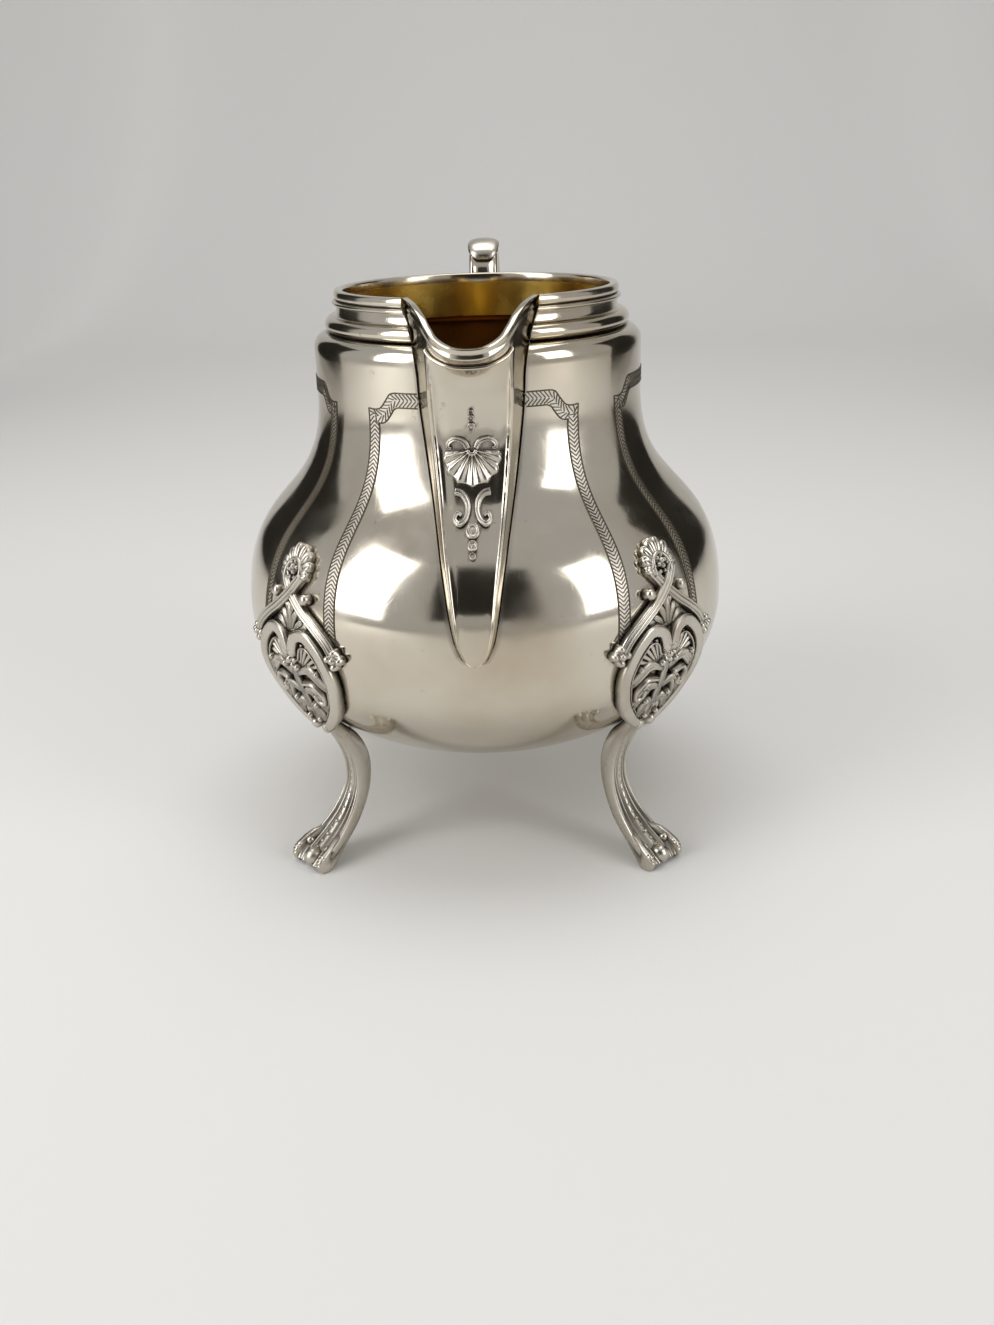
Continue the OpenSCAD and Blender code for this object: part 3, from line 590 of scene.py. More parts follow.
@dataclass(frozen=True)
class SilverFinish:
    """A silver or gilt metal with its toning, a painted shade colour for its recesses, haze and fine scratches."""

    clean: tuple[float, float, float]
    toned: tuple[float, float, float]
    # Colour of the painted shade in recesses
    recess_shade: tuple[float, float, float]
    toning_share: float
    recess_share: float
    roughness: float
    haze: float
    bump: float
    cloud_scale: float = 30.0
    grain: float = 0.0
    grain_scale: float = 900.0
    recess_rough: float = 0.3
    scratch_depth: float = 0.00003

    def build(self, name: str) -> bpy.types.Material:
        """Builds the material.

        Args:
            name: The material's name.

        Returns:
            The material, with its colour, roughness and normal made by nodes.
        """
        mat = bpy.data.materials.new(name)
        mat.use_nodes = True
        n = Nodes(mat.node_tree)
        shader = mat.node_tree.nodes["Principled BSDF"]
        shader.inputs["Metallic"].default_value = 1.0
        marks = n.add("ShaderNodeGroup")
        marks.node_tree = toning_group()
        marks.inputs["Cloud Scale"].default_value = self.cloud_scale
        mix = n.add("ShaderNodeMix", data_type="RGBA")
        mix.inputs["A"].default_value = (*self.clean, 1)
        mix.inputs["B"].default_value = (*self.toned, 1)
        n.link(n.maths("MULTIPLY", marks.outputs["Toning"], self.toning_share), mix.inputs["Factor"])
        # Painted shade: where a piece's stored occlusion is high, the colour darkens towards the recess shade colour
        # and the surface roughens.
        painted_shade = n.add("ShaderNodeAttribute", attribute_name="painted_shade")
        dark = n.add("ShaderNodeMix", data_type="RGBA")
        dark.inputs["B"].default_value = (*self.recess_shade, 1)
        n.link(mix.outputs["Result"], dark.inputs["A"])
        depth = n.maths("MULTIPLY", painted_shade.outputs["Fac"], self.recess_share, clamp=True)
        n.link(depth, dark.inputs["Factor"])
        n.link(dark.outputs["Result"], shader.inputs["Base Color"])
        rough = n.maths("ADD", n.maths("MULTIPLY", marks.outputs["Haze"], self.haze), self.roughness)
        rough = n.maths("ADD", rough, n.maths("MULTIPLY", depth, self.recess_rough), clamp=True)
        n.link(rough, shader.inputs["Roughness"])
        height = n.maths("MULTIPLY", marks.outputs["Scratch"], -1.0)
        if self.grain:
            height = n.maths("ADD", height, n.maths("MULTIPLY", n.noise(self.grain_scale, 3), self.grain))
        bump = n.add("ShaderNodeBump")
        bump.inputs["Strength"].default_value = self.bump
        bump.inputs["Distance"].default_value = self.scratch_depth
        n.link(height, bump.inputs["Height"])
        n.link(bump.outputs["Normal"], shader.inputs["Normal"])
        return mat


FINISHES: dict[Skin, SilverFinish] = {
    Skin.PLATE: SilverFinish(clean=(0.66, 0.61, 0.52), toned=(0.45, 0.36, 0.24), recess_shade=(0.08, 0.065, 0.045),
                             toning_share=0.6, recess_share=0.8, roughness=0.1, haze=0.12, bump=0.06),
    Skin.CAST: SilverFinish(clean=(0.62, 0.58, 0.51), toned=(0.4, 0.34, 0.26), recess_shade=(0.018, 0.015, 0.012),
                            toning_share=0.5, recess_share=1.0, roughness=0.24, haze=0.16, bump=0.25,
                            cloud_scale=80.0, grain=1.0),
    Skin.GILT: SilverFinish(clean=(0.78, 0.55, 0.13), toned=(0.5, 0.3, 0.06), recess_shade=(0.1, 0.05, 0.01),
                            toning_share=0.7, recess_share=0.8, roughness=0.2, haze=0.16, bump=0.12),
    # The belly's inside: gilt darkened with painted shade, with tarnish blotches on it.
    Skin.SHADED_GILT: SilverFinish(clean=(0.3, 0.15, 0.05), toned=(0.14, 0.05, 0.02), recess_shade=(0.05, 0.02, 0.01),
                                 toning_share=0.9, recess_share=0.8, roughness=0.3, haze=0.25, bump=0.2,
                                 cloud_scale=60.0),
    Skin.FROSTED: SilverFinish(clean=(0.66, 0.62, 0.55), toned=(0.48, 0.43, 0.35), recess_shade=(0.03, 0.025, 0.02),
                               toning_share=0.5, recess_share=0.8, roughness=0.36, haze=0.1, bump=0.35, grain=1.5),
    Skin.BRIGHT_CUT: SilverFinish(clean=(0.13, 0.11, 0.08), toned=(0.07, 0.055, 0.04), recess_shade=(0.03, 0.02, 0.02),
                                  toning_share=0.8, recess_share=0.8, roughness=0.3, haze=0.2, bump=0.2),
    Skin.ENGRAVED: SilverFinish(clean=(0.12, 0.1, 0.07), toned=(0.05, 0.04, 0.03), recess_shade=(0.03, 0.02, 0.02),
                                toning_share=0.8, recess_share=0.8, roughness=0.4, haze=0.2, bump=0.2),
}


# The jug's form: the sizes that its pieces share


@dataclass
class JugForm:
    """The sizes of the body and the surface that the feet, spout and handle are fitted to."""

    rim_h: float = 114.0
    belly_d: float = 102.6
    belly_h: float = 49.5
    neck_d: float = 67.2
    neck_h: float = 94.0
    shoulder_h: float = 105.8
    shoulder_round: float = 2.8
    base_h: float = 17.0
    mouth_d: float = 54.2
    wall: float = 1.0
    rim_d: float = 58.0
    rim_wire_h: float = 1.9
    collar_d: float = 62.2
    collar_roll_h: float = 3.1
    collar_fillet_h: float = 1.0
    notch_w: float = 25.6
    curve: Array = field(init=False)

    def __post_init__(self) -> None:
        """Draws the body's outside."""
        belly_r, neck_r = self.belly_d / 2, self.neck_d / 2
        under, over = self.belly_h - self.base_h, self.neck_h - self.belly_h
        low = bezier((0, self.base_h), (0.625 * belly_r, self.base_h), (belly_r, self.belly_h - 0.53 * under),
                     (belly_r, self.belly_h), 48)
        high = bezier((belly_r, self.belly_h), (belly_r, self.belly_h + 0.61 * over),
                      (neck_r, self.neck_h - 0.545 * over), (neck_r, self.neck_h), 48)
        self.curve = np.vstack([low, high[1:]])

    def radius(self, z: float) -> float:
        """Returns the body's outer radius at a height."""
        return float(np.interp(z, self.curve[1:, 1], self.curve[1:, 0]))

    def slope(self, z: float) -> float:
        """Returns how fast the radius grows with height, over one millimetre of it."""
        return self.radius(z + 0.5) - self.radius(z - 0.5)

    def on_body(self, x: float, z: float, proud: float) -> Array:
        """Returns the front point at x and height z, standing proud of the body."""
        return np.array([x, -math.sqrt((self.radius(z) + proud) ** 2 - x * x), z])

    def at_angle(self, degrees: float, z: float, proud: float) -> tuple[Array, Array]:
        """Gives a place on the body by its angle from the spout.

        Args:
            degrees: The angle from the spout, towards +X.
            z: The height.
            proud: How far outside the surface.

        Returns:
            The point and the surface's outward normal there.
        """
        a, slope = math.radians(degrees), self.slope(z)
        n = np.array([1.0, -slope]) / math.hypot(1, slope)
        r = self.radius(z) + proud * n[0]
        point = np.array([r * math.sin(a), -r * math.cos(a), z + proud * n[1]])
        return point, np.array([n[0] * math.sin(a), -n[0] * math.cos(a), n[1]])


FORM = JugForm()


@dataclass
class SpoutForm:
    """The grid of points that the spout's sheet, the cut behind it and its ornament share."""

    width: float = 17.4
    lip_reach: float = 41.0
    lip_drop: float = 7.5
    tip_h: float = 50.5
    flare_h: float = 98.0
    stand: float = 3.4
    edge_t: float = 0.7
    wall: float = 1.0
    strip_h: float = 2.0
    strip_t: float = 1.3
    seam_gap: float = 0.03
    heights: tuple[float, ...] = (0, 0.03, 0.095, 0.19, 0.285, 0.38, 0.475, 0.57, 0.665, 0.76, 0.845, 0.925, 1)
    widths: tuple[float, ...] = (0.1, 0.25, 0.39, 0.48, 0.55, 0.625, 0.7, 0.77, 0.83, 0.88, 0.92, 0.955, 0.97)
    stands: tuple[float, ...] = (0.07, 0.18, 0.28, 0.35, 0.43, 0.51, 0.59, 0.65, 0.72, 0.78, 0.82, 0.88, 1)
    opens: tuple[float, ...] = (0.07, 0.1, 0.13, 0.16, 0.18, 0.2, 0.22, 0.26, 0.31, 0.36, 0.4, 0.43, 0.45)
    flares: tuple[float, ...] = (0.2, 0.4, 0.6, 0.8, 1)
    column_x: tuple[float, ...] = (0, 0.45, 0.78, 0.9, 1)
    column_stand: tuple[float, ...] = (1, 0.98, 0.93, 1, 0.75)
    lip_x: tuple[float, ...] = (0, 0.27, 0.5, 0.62, 0.71, 0.84, 0.99)
    lip_y: tuple[float, ...] = (1, 0.985, 0.93, 0.875, 0.82, 0.73, 0.593)
    lip_z: tuple[float, ...] = (1, 0.95, 0.765, 0.53, 0.305, 0.1, 0.01)
    outer: Array = field(init=False)
    inner: Array = field(init=False)
    lip_half: Array = field(init=False)

    def __post_init__(self) -> None:
        """Works out the two grids."""
        self.lip_half = np.array([[x * FORM.notch_w / 2, -y * self.lip_reach, FORM.rim_h - z * self.lip_drop]
                                  for x, y, z in zip(self.lip_x, self.lip_y, self.lip_z)])
        low = [self.low_row(i) for i in range(len(self.heights))]
        outer = [row[0] for row in low] + [self.high_row(w, low[-1][0], False) for w in self.flares]
        inner = [row[1] for row in low] + [self.high_row(w, low[-1][1], True) for w in self.flares]
        self.outer, self.inner = np.array(outer), np.array(inner)

    def seam_radius(self, z: float) -> float:
        """Finds how far from the axis the flank's back edge runs.

        Args:
            z: The height.

        Returns:
            The radius there.
        """
        f = FORM
        neck, seat = f.neck_d / 2, f.mouth_d / 2 + f.wall
        inset = np.interp(z, [f.shoulder_h - f.shoulder_round, f.shoulder_h - f.shoulder_round / 2, f.shoulder_h,
                              f.shoulder_h + f.collar_roll_h / 2, f.rim_h - f.rim_wire_h],
                          [0, f.shoulder_round / 6, f.shoulder_round / 2, neck - seat - f.wall, neck - seat])
        return f.radius(min(z, f.shoulder_h)) - f.wall / 2 - float(inset)

    def on_seam(self, x: float, z: float) -> Array:
        """Returns the point of the flank's back edge at x and height z."""
        return np.array([x, -math.sqrt(self.seam_radius(z) ** 2 - x * x), z])

    def low_row(self, i: int) -> tuple[Array, Array]:
        """Works out one row of the grids below the flare.

        Args:
            i: The row's number from the tip.

        Returns:
            Its outer and inner points, from the middle to the seam.
        """
        z = self.tip_h + self.heights[i] * (self.flare_h - self.tip_h)
        half, stand = self.widths[i] * self.width / 2, self.stands[i] * self.stand
        side, rib = half + self.opens[i] * self.stand, self.widths[i] * self.edge_t
        t = min(self.wall, side / 2)
        draw = (side - t) / side
        outer, inner = [], []
        for k, (x, s) in enumerate(zip(self.column_x, self.column_stand)):
            outer.append(FORM.on_body(x * half, z, s * stand + (rib if k == 3 else 0)))
            inner.append(FORM.on_body(x * half * draw, z, s * stand - t * (0.5 if k == 4 else 1)))
        outer += [FORM.on_body((half + side) / 2, z, 0.3 * stand), self.on_seam(side, z)]
        inner += [FORM.on_body((half + side) / 2 * draw, z, 0.3 * stand), self.on_seam(side * draw, z)]
        return np.array(outer), np.array(inner)

    def high_row(self, w: float, low: Array, is_inner: bool) -> Array:
        """Returns a row between the flare and the lip.

        Args:
            w: The share of the way to the lip.
            low: The row at the flare.
            is_inner: Whether the row lies on the sheet's inner side.

        Returns:
            The row's points, from the middle to the seam.
        """
        row = []
        for k in range(7):
            top = self.lip_half[k] - [0, 0, self.strip_h]
            if is_inner:
                d = self.lip_half[min(k + 1, 6)] - self.lip_half[max(k - 1, 0)]
                flat = np.array([1.0, 0.0]) if k == 0 else d[:2] / np.linalg.norm(d[:2])
                top = top + self.wall * np.array([-flat[1], flat[0], 0])
                if k == 6:
                    top = self.lip_half[k] - [self.wall, 0, self.strip_h]
            ease = np.array([low[k][0], low[k][1], (low[k][2] + top[2]) / 2])
            p = (1 - w) ** 2 * low[k] + 2 * (1 - w) * w * ease + w * w * top
            row.append(self.on_seam(p[0], p[2]) if k == 6 else p)
        return np.array(row)

    def whole(self, rows: Array) -> Array:
        """Adds the mirrored left half to rows of right halves."""
        left = rows[:, :0:-1] * np.array([-1, 1, 1])
        return np.concatenate([left, rows], 1)

    def seam_x(self, z: Array) -> Array:
        """Finds how wide the cut behind the spout is.

        Args:
            z: The heights.

        Returns:
            Half its width at each of them, 0 under the spout's tip.
        """
        zs = np.concatenate([self.outer[:, 6, 2], [FORM.rim_h - FORM.rim_wire_h, FORM.rim_h + 1]])
        xs = np.concatenate([self.outer[:, 6, 0], [FORM.notch_w / 2, FORM.notch_w / 2]]) + self.seam_gap
        return np.where(z < self.tip_h - SOLDER, 0, np.interp(z, zs, xs))

    def face(self, x: float, z: float, proud: float) -> Array:
        """Finds a place on the spout's face.

        Args:
            x: How far across.
            z: The height.
            proud: How far in front of the sheet.

        Returns:
            The point.
        """
        rows = self.outer[: len(self.heights)]
        zs = rows[:, 0, 2]

        def reach(across: float, height: float) -> float:
            """Finds how far in front of the axis the face lies.

            Args:
                across, height: The place on the face.

            Returns:
                The distance.
            """
            a = abs(across)
            xk = [float(np.interp(height, zs, rows[:, k, 0])) for k in range(3)]
            yk = [float(np.interp(height, zs, -rows[:, k, 1])) for k in range(3)]
            return float(np.interp(a, xk, yk))

        slope = (reach(x, z + 1) - reach(x, z - 1)) / 2
        n = np.array([0, -1, -slope]) / math.hypot(1, slope)
        return np.array([x, -reach(x, z), z]) + proud * n


SPOUT = SpoutForm()


# Pieces of the vessel


@dataclass
class Vessel:
    """Body, collar and rim wire."""

    columns: int = 300
    arc: int = 8
    step: float = 1.3
    inset: float = 0.02
    # How far under the shoulder's inner step the bright gilt gives way to gilt with painted shade
    gilt_line: float = 0.3

    def cut_start(self, profile: Array) -> Array:
        """Finds where a turned profile begins beside the spout.

        Args:
            profile: The outline as [radius, height].

        Returns:
            For each point, the angle from the front at which its metal begins, in radians.
        """
        x = SPOUT.seam_x(profile[:, 1])
        r = np.maximum(profile[:, 0], 1e-6)
        return np.where(x < r, np.arcsin(np.minimum(x / r, 1)), 0)

    def refine(self, points: Sequence[Sequence[float]], step: float) -> Array:
        """Adds points along an outline so that none of its edges is longer than a step.

        Args:
            points: The outline.
            step: The longest edge.

        Returns:
            The finer outline.
        """
        p = np.asarray(points, float)
        out = [p[0]]
        for a, b in zip(p[:-1], p[1:]):
            n = max(1, int(np.ceil(np.linalg.norm(b - a) / step)))
            out += [a + (b - a) * i / n for i in range(1, n + 1)]
        return np.array(out)

    def build_body(self) -> bpy.types.Object:
        """Makes the spun body, silver outside and gilt inside.

        Returns:
            The body.
        """
        f = FORM
        neck, seat, mouth = f.neck_d / 2, f.mouth_d / 2 + f.wall, f.mouth_d / 2
        d = headings(f.curve)
        inner = f.curve + f.wall * np.stack([-d[:, 1], d[:, 0]], -1)
        inner[:, 0] = np.maximum(inner[:, 0], 0)
        turn = np.linspace(0, np.pi / 2, self.arc + 1)
        outer_round = np.stack([neck - f.shoulder_round * (1 - np.cos(turn)),
                                f.shoulder_h - f.shoulder_round * (1 - np.sin(turn))], -1)
        small = f.shoulder_round - f.wall / 2
        inner_round = np.stack([neck - f.wall - small * (1 - np.cos(turn)),
                                f.shoulder_h - f.wall - small * (1 - np.sin(turn))], -1)
        top = f.rim_h - f.rim_wire_h
        outside = self.refine(np.vstack([f.curve, outer_round, [[seat, f.shoulder_h], [seat, top]]]), self.step)
        inside = self.refine(np.vstack([[[mouth, top], [mouth, f.shoulder_h - f.wall]], inner_round[::-1],
                                        inner[::-1]]), self.step)
        outside[:, 0] -= self.inset
        outside[0, 0] = inside[-1, 0] = 0
        profile = np.vstack([outside, inside])
        # Inside, the gilt is bright down to just under the shoulder's step and carries painted shade below it.
        skins = [0] * len(outside) + [1 if z > f.shoulder_h - f.wall - self.gilt_line else 2 for z in inside[:, 1]]
        skins[-1] = 0
        mould = Mould()
        mould.lathe(profile, self.cut_start(profile), self.columns, skins)
        return mould.finish("jug_body", "body", Slot.PLATE, (Skin.PLATE, Skin.GILT, Skin.SHADED_GILT), 40, MERGE)

    def build_collar(self) -> bpy.types.Object:
        """Makes the moulded collar: roll, cove and thin fillet.

        Returns:
            The collar.
        """
        f = FORM
        low, top = f.shoulder_h + SOLDER, f.rim_h - f.rim_wire_h - SOLDER
        seat, roll = f.mouth_d / 2 + f.wall + SOLDER, f.collar_roll_h / 2
        middle, rim = f.collar_d / 2 - roll, f.rim_d / 2
        fillet_r, cove_r = rim + f.wall / 2, rim - f.wall / 3
        fillet_low = top - f.collar_fillet_h
        turn = np.linspace(-np.pi / 2, np.pi / 2, 13)
        ring = np.stack([middle + roll * np.cos(turn), low + roll + roll * np.sin(turn)], -1)
        roll_top = low + f.collar_roll_h
        cove = bezier((middle, roll_top), (cove_r, roll_top), (cove_r, (roll_top + fillet_low) / 2),
                      (cove_r, fillet_low), 10)[1:-1]
        fillet = np.stack([cove_r + (fillet_r - cove_r) * np.cos(turn),
                           fillet_low + f.collar_fillet_h / 2 * (1 + np.sin(turn))], -1)
        profile = np.vstack([[[seat, low]], ring, cove, fillet, [[seat, top]]])
        mould = Mould()
        mould.lathe(profile, self.cut_start(profile), self.columns)
        return mould.finish("collar_moulding", "collar", Slot.PLATE, (Skin.PLATE,), 35)

    def build_rim(self) -> bpy.types.Object:
        """Makes the flat-topped wire of the rim.

        Returns:
            The rim.
        """
        f = FORM
        low, mouth, rim, soft = f.rim_h - f.rim_wire_h + SOLDER, f.mouth_d / 2, f.rim_d / 2, f.rim_wire_h / 4
        turn = np.linspace(-np.pi / 2, np.pi / 2, 11)
        half = (f.rim_h - low) / 2
        ring = np.stack([rim - soft + soft * np.cos(turn), low + half + half * np.sin(turn)], -1)
        inner = np.linspace(np.pi / 2, np.pi, 6)
        lip = np.stack([mouth + soft + soft * np.cos(inner), f.rim_h - soft + soft * np.sin(inner)], -1)
        profile = np.vstack([[[mouth, low]], ring, lip])
        mould = Mould()
        mould.lathe(profile, self.cut_start(profile), self.columns)
        return mould.finish("rim_wire_ring", "rim_wire", Slot.PLATE, (Skin.PLATE,), 50)


@dataclass
class Spout:
    """The spout's sheet, lip strip, thin wire and soldered ornament."""

    fine: int = 5
    sheet_inset: float = 0.04
    wire_r: float = 0.32
    wire_proud: float = 0.3
    shell_w: float = 10.6
    shell_h: float = 8.6
    shell_root: float = 88.0
    shell_relief: float = 0.8
    seat: float = 0.1
    scroll_w: float = 1.35
    horn_w: float = 1.2
    scroll_t: float = 0.8
    bead_t: float = 0.8
    pellet_h: tuple[float, ...] = (74.09, 71.75, 70.17)
    pellet_d: tuple[float, ...] = (2.6, 1.82, 1.2)
    drop_h: tuple[float, ...] = (92.15, 93.76, 94.96)
    drop_d: tuple[float, ...] = (1.56, 1.2, 0.88)

    def fine_grid(self, rows: Array) -> Array:
        """Runs smooth curves through the rows and then the columns of a grid."""
        up = np.stack([smooth(rows[:, j], self.fine) for j in range(rows.shape[1])], 1)
        return np.stack([smooth(up[i], self.fine) for i in range(up.shape[0])], 0)

    def build_sheet(self) -> bpy.types.Object:
        """Makes the V-shaped sheet, silver in front and gilt behind.

        Returns:
            The sheet.
        """
        outer, inner = self.fine_grid(SPOUT.whole(SPOUT.outer)), self.fine_grid(SPOUT.whole(SPOUT.inner))
        for grid in (outer, inner):
            grid[-1, :, 2] -= SOLDER
            grid[..., 1] += self.sheet_inset
        mould = Mould()
        mould.sheet(outer, inner, 0, 1)
        return mould.finish("spout_sheet", "spout", Slot.PLATE, (Skin.PLATE, Skin.GILT), 50, MERGE)

    def lip_path(self, n: int) -> Array:
        """Returns the lip's line from the left end of the rim wire to the right."""
        half = SPOUT.lip_half
        return smooth(np.vstack([half[:0:-1] * [-1, 1, 1], half]), n)

    def build_lip(self) -> bpy.types.Object:
        """Makes the strip round the lip, with a bead along each of its outer edges.

        Returns:
            The strip.
        """
        path = self.lip_path(8)
        t = headings(path)
        section = [(0, -0.84), (0.04, -0.88), (0.96, -0.88), (1, -0.8), (1, 0.0), (0.96, 0.05), (0.88, 0.07),
                   (0.8, 0.05), (0.74, -0.02), (0.5, -0.08), (0.26, -0.02), (0.2, 0.05), (0.12, 0.07),
                   (0.04, 0.05), (0, 0.0)]
        rings = []
        for p, d in zip(path, t):
            flat = d[:2] / np.linalg.norm(d[:2])
            out = np.array([flat[1], -flat[0], 0])
            rings.append([p + [0, 0, (u - 1) * SPOUT.strip_h] + v * SPOUT.strip_t * out for u, v in section])
        mould = Mould()
        mould.tube(rings)
        return mould.finish("lip_strip", "spout_lip", Slot.PLATE, (Skin.PLATE,), 50)

    def build_fillet(self) -> bpy.types.Object:
        """Makes the thin wire under the lip.

        Returns:
            The wire.
        """
        rows = SPOUT.whole(SPOUT.outer)
        above, row, below = rows[-1], rows[-2], rows[-3]
        path, rise = smooth(row[3:-3], 6), smooth((above - below)[3:-3], 6)
        t = headings(path)
        rings = []
        for p, d, r in zip(path, t, rise):
            n = np.cross(d, r)
            n /= np.linalg.norm(n)
            u = np.cross(n, d)
            rings.append([p + self.wire_proud * n + self.wire_r * (math.cos(a) * u + math.sin(a) * n)
                          for a in np.linspace(0, 2 * np.pi, 10, endpoint=False)])
        mould = Mould()
        mould.tube(rings)
        return mould.finish("wire_under_lip", "lip_fillet", Slot.PLATE, (Skin.PLATE,))

    def build_shell(self) -> bpy.types.Object:
        """Makes the ribbed shell that fans down from its root.

        Returns:
            The shell.
        """
        width, height = self.shell_w, self.shell_h
        radial = np.linspace(0.08, 1, 22)
        angles = np.linspace(-84, 84, 113)
        rings = []
        for deg in angles:
            a = math.radians(deg)
            wave = 0.5 + 0.5 * math.cos(math.radians(deg) * 15)
            reach = (width / 2 + (0.8 * height - width / 2) * math.cos(a)) * (0.93 + 0.07 * wave)
            top = []
            for s in radial:
                dome = self.shell_relief * (0.55 + 0.65 * math.exp(-((s - 0.12) / 0.16) ** 2) + 0.25 * s)
                groove = (0.25 + 0.75 * wave) if s > 0.2 else 1.0
                edge = min(1.0, (1.02 - s) / 0.1)
                top.append((s, dome * groove * math.sqrt(max(edge, 0.02))))
            outline = [(0.08, 0.0)] + top + [(1.0, 0.0)]
            rings.append([SPOUT.face(reach * s * math.sin(a), self.shell_root - reach * s * math.cos(a), self.seat + h)
                          for s, h in outline])
        mould = Mould()
        mould.tube(rings)
        return mould.finish("spout_shell_relief", "spout_shell", Slot.CAST, (Skin.CAST,))

    def build_scrolls(self) -> bpy.types.Object:
        """Makes the pair of C scrolls and the pair of horns.

        Returns:
            The scrolls and horns.
        """
        scroll = [(0.31, -0.88), (0.19, -0.92), (0.1, -1.06), (0.08, -1.23), (0.13, -1.41), (0.23, -1.5),
                  (0.31, -1.41), (0.27, -1.3), (0.2, -1.34)]
        horn = [(0.07, 0.02), (0.14, 0.16), (0.28, 0.22), (0.4, 0.14), (0.42, 0.04), (0.36, 0.02)]
        mould = Mould()
        for line, w in ((scroll, self.scroll_w), (horn, self.horn_w)):
            for side in (-1, 1):
                path = smooth([(side * x * self.shell_w, self.shell_root + z * self.shell_h) for x, z in line], 6)
                fade = swell(Swell.FADE, len(path), 0.5)
                strip(mould, by_side(path, side), w, self.scroll_t, Section.GROOVED, by_side(fade, side),
                      lambda x, z, p: SPOUT.face(x, z, self.seat + p))
        return mould.finish("spout_scroll_relief", "spout_scrolls", Slot.CAST, (Skin.CAST,))

    def build_beads(self) -> list[bpy.types.Object]:
        """Makes the graduated pellets under the scrolls and drops over the shell.

        Returns:
            The row of pellets and the row of drops.
        """
        made = []
        ring = ((1, 0), (1, 0.45), (0.94, 0.8), (0.84, 0.92), (0.74, 0.8), (0.66, 0.48), (0.58, 0.34), (0.35, 0.42),
                (0.12, 0.46))
        turn = np.linspace(0, 2 * np.pi, 24, endpoint=False)
        for name, node, heights, sizes in (
                ("spout_pellet_row", "spout_pellets", self.pellet_h, self.pellet_d),
                ("spout_drop_row", "spout_drops", self.drop_h, self.drop_d)):
            mould = Mould()
            for z, d in zip(heights, sizes):
                mould.tube([[SPOUT.face(d / 2 * s * math.cos(a), z + d / 2 * s * math.sin(a),
                                        self.seat + self.bead_t * h) for a in turn] for s, h in ring])
            made.append(mould.finish(name, node, Slot.CAST, (Skin.CAST,)))
        return made


# Relief strips and the feet


class Section(Enum):
    """Cross-sections of relief strips: [share of the half width, share of the thickness]."""

    BAND = ((-1, 0), (1, 0), (1, 0.6), (0.95, 0.82), (0.8, 0.96), (0.5, 1), (0, 0.99), (-0.5, 1), (-0.8, 0.96),
            (-0.95, 0.82), (-1, 0.6))
    RIBBED = ((-1, 0), (1, 0), (1, 0.6), (0.8, 0.9), (0.6, 0.85), (0.45, 0.6), (0.25, 0.95), (0, 1),
              (-0.25, 0.95), (-0.45, 0.6), (-0.6, 0.85), (-0.8, 0.9), (-1, 0.6))
    GROOVED = ((-1, 0), (1, 0), (0.95, 0.55), (0.65, 0.95), (0.35, 0.95), (0, 0.6), (-0.35, 0.95), (-0.65, 0.95),
               (-0.95, 0.55))
    LEAF = ((-1, 0), (1, 0), (0.9, 0.5), (0.62, 0.85), (0.34, 0.74), (0.15, 0.7), (0, 1), (-0.15, 0.7), (-0.34, 0.74),
            (-0.62, 0.85), (-0.9, 0.5))
    LOBE = ((-1, 0), (1, 0), (0.97, 0.5), (0.8, 0.86), (0.5, 1), (0.2, 0.96), (0, 0.86), (-0.2, 0.96), (-0.5, 1),
            (-0.8, 0.86), (-0.97, 0.5))
    ROUND = ((-1, 0), (1, 0), (0.95, 0.55), (0.7, 0.87), (0.35, 1), (-0.35, 1), (-0.7, 0.87), (-0.95, 0.55))


def strip(mould: Mould, path: Array, width: float, thick: float, section: Section, share: Array,
          place: Callable[[float, float, float], Array]) -> None:
    """Adds a relief strip that follows a path on a surface.

    Args:
        mould: The piece that it joins.
        path: The path as [across, up].
        width: Its full width.
        thick: Its thickness.
        section: Its cross-section.
        share: Its width at each point of the path, as a share of the full width.
        place: Maps across, up and proud to a point.
    """
    t = headings(path)
    rings = []
    for p, d, k in zip(path, t, share):
        side = np.array([-d[1], d[0]])
        height = thick * (0.6 + 0.4 * k)
        rings.append([place(*(p + side * u * k * width / 2), v * height) for u, v in section.value])
    mould.tube(rings)


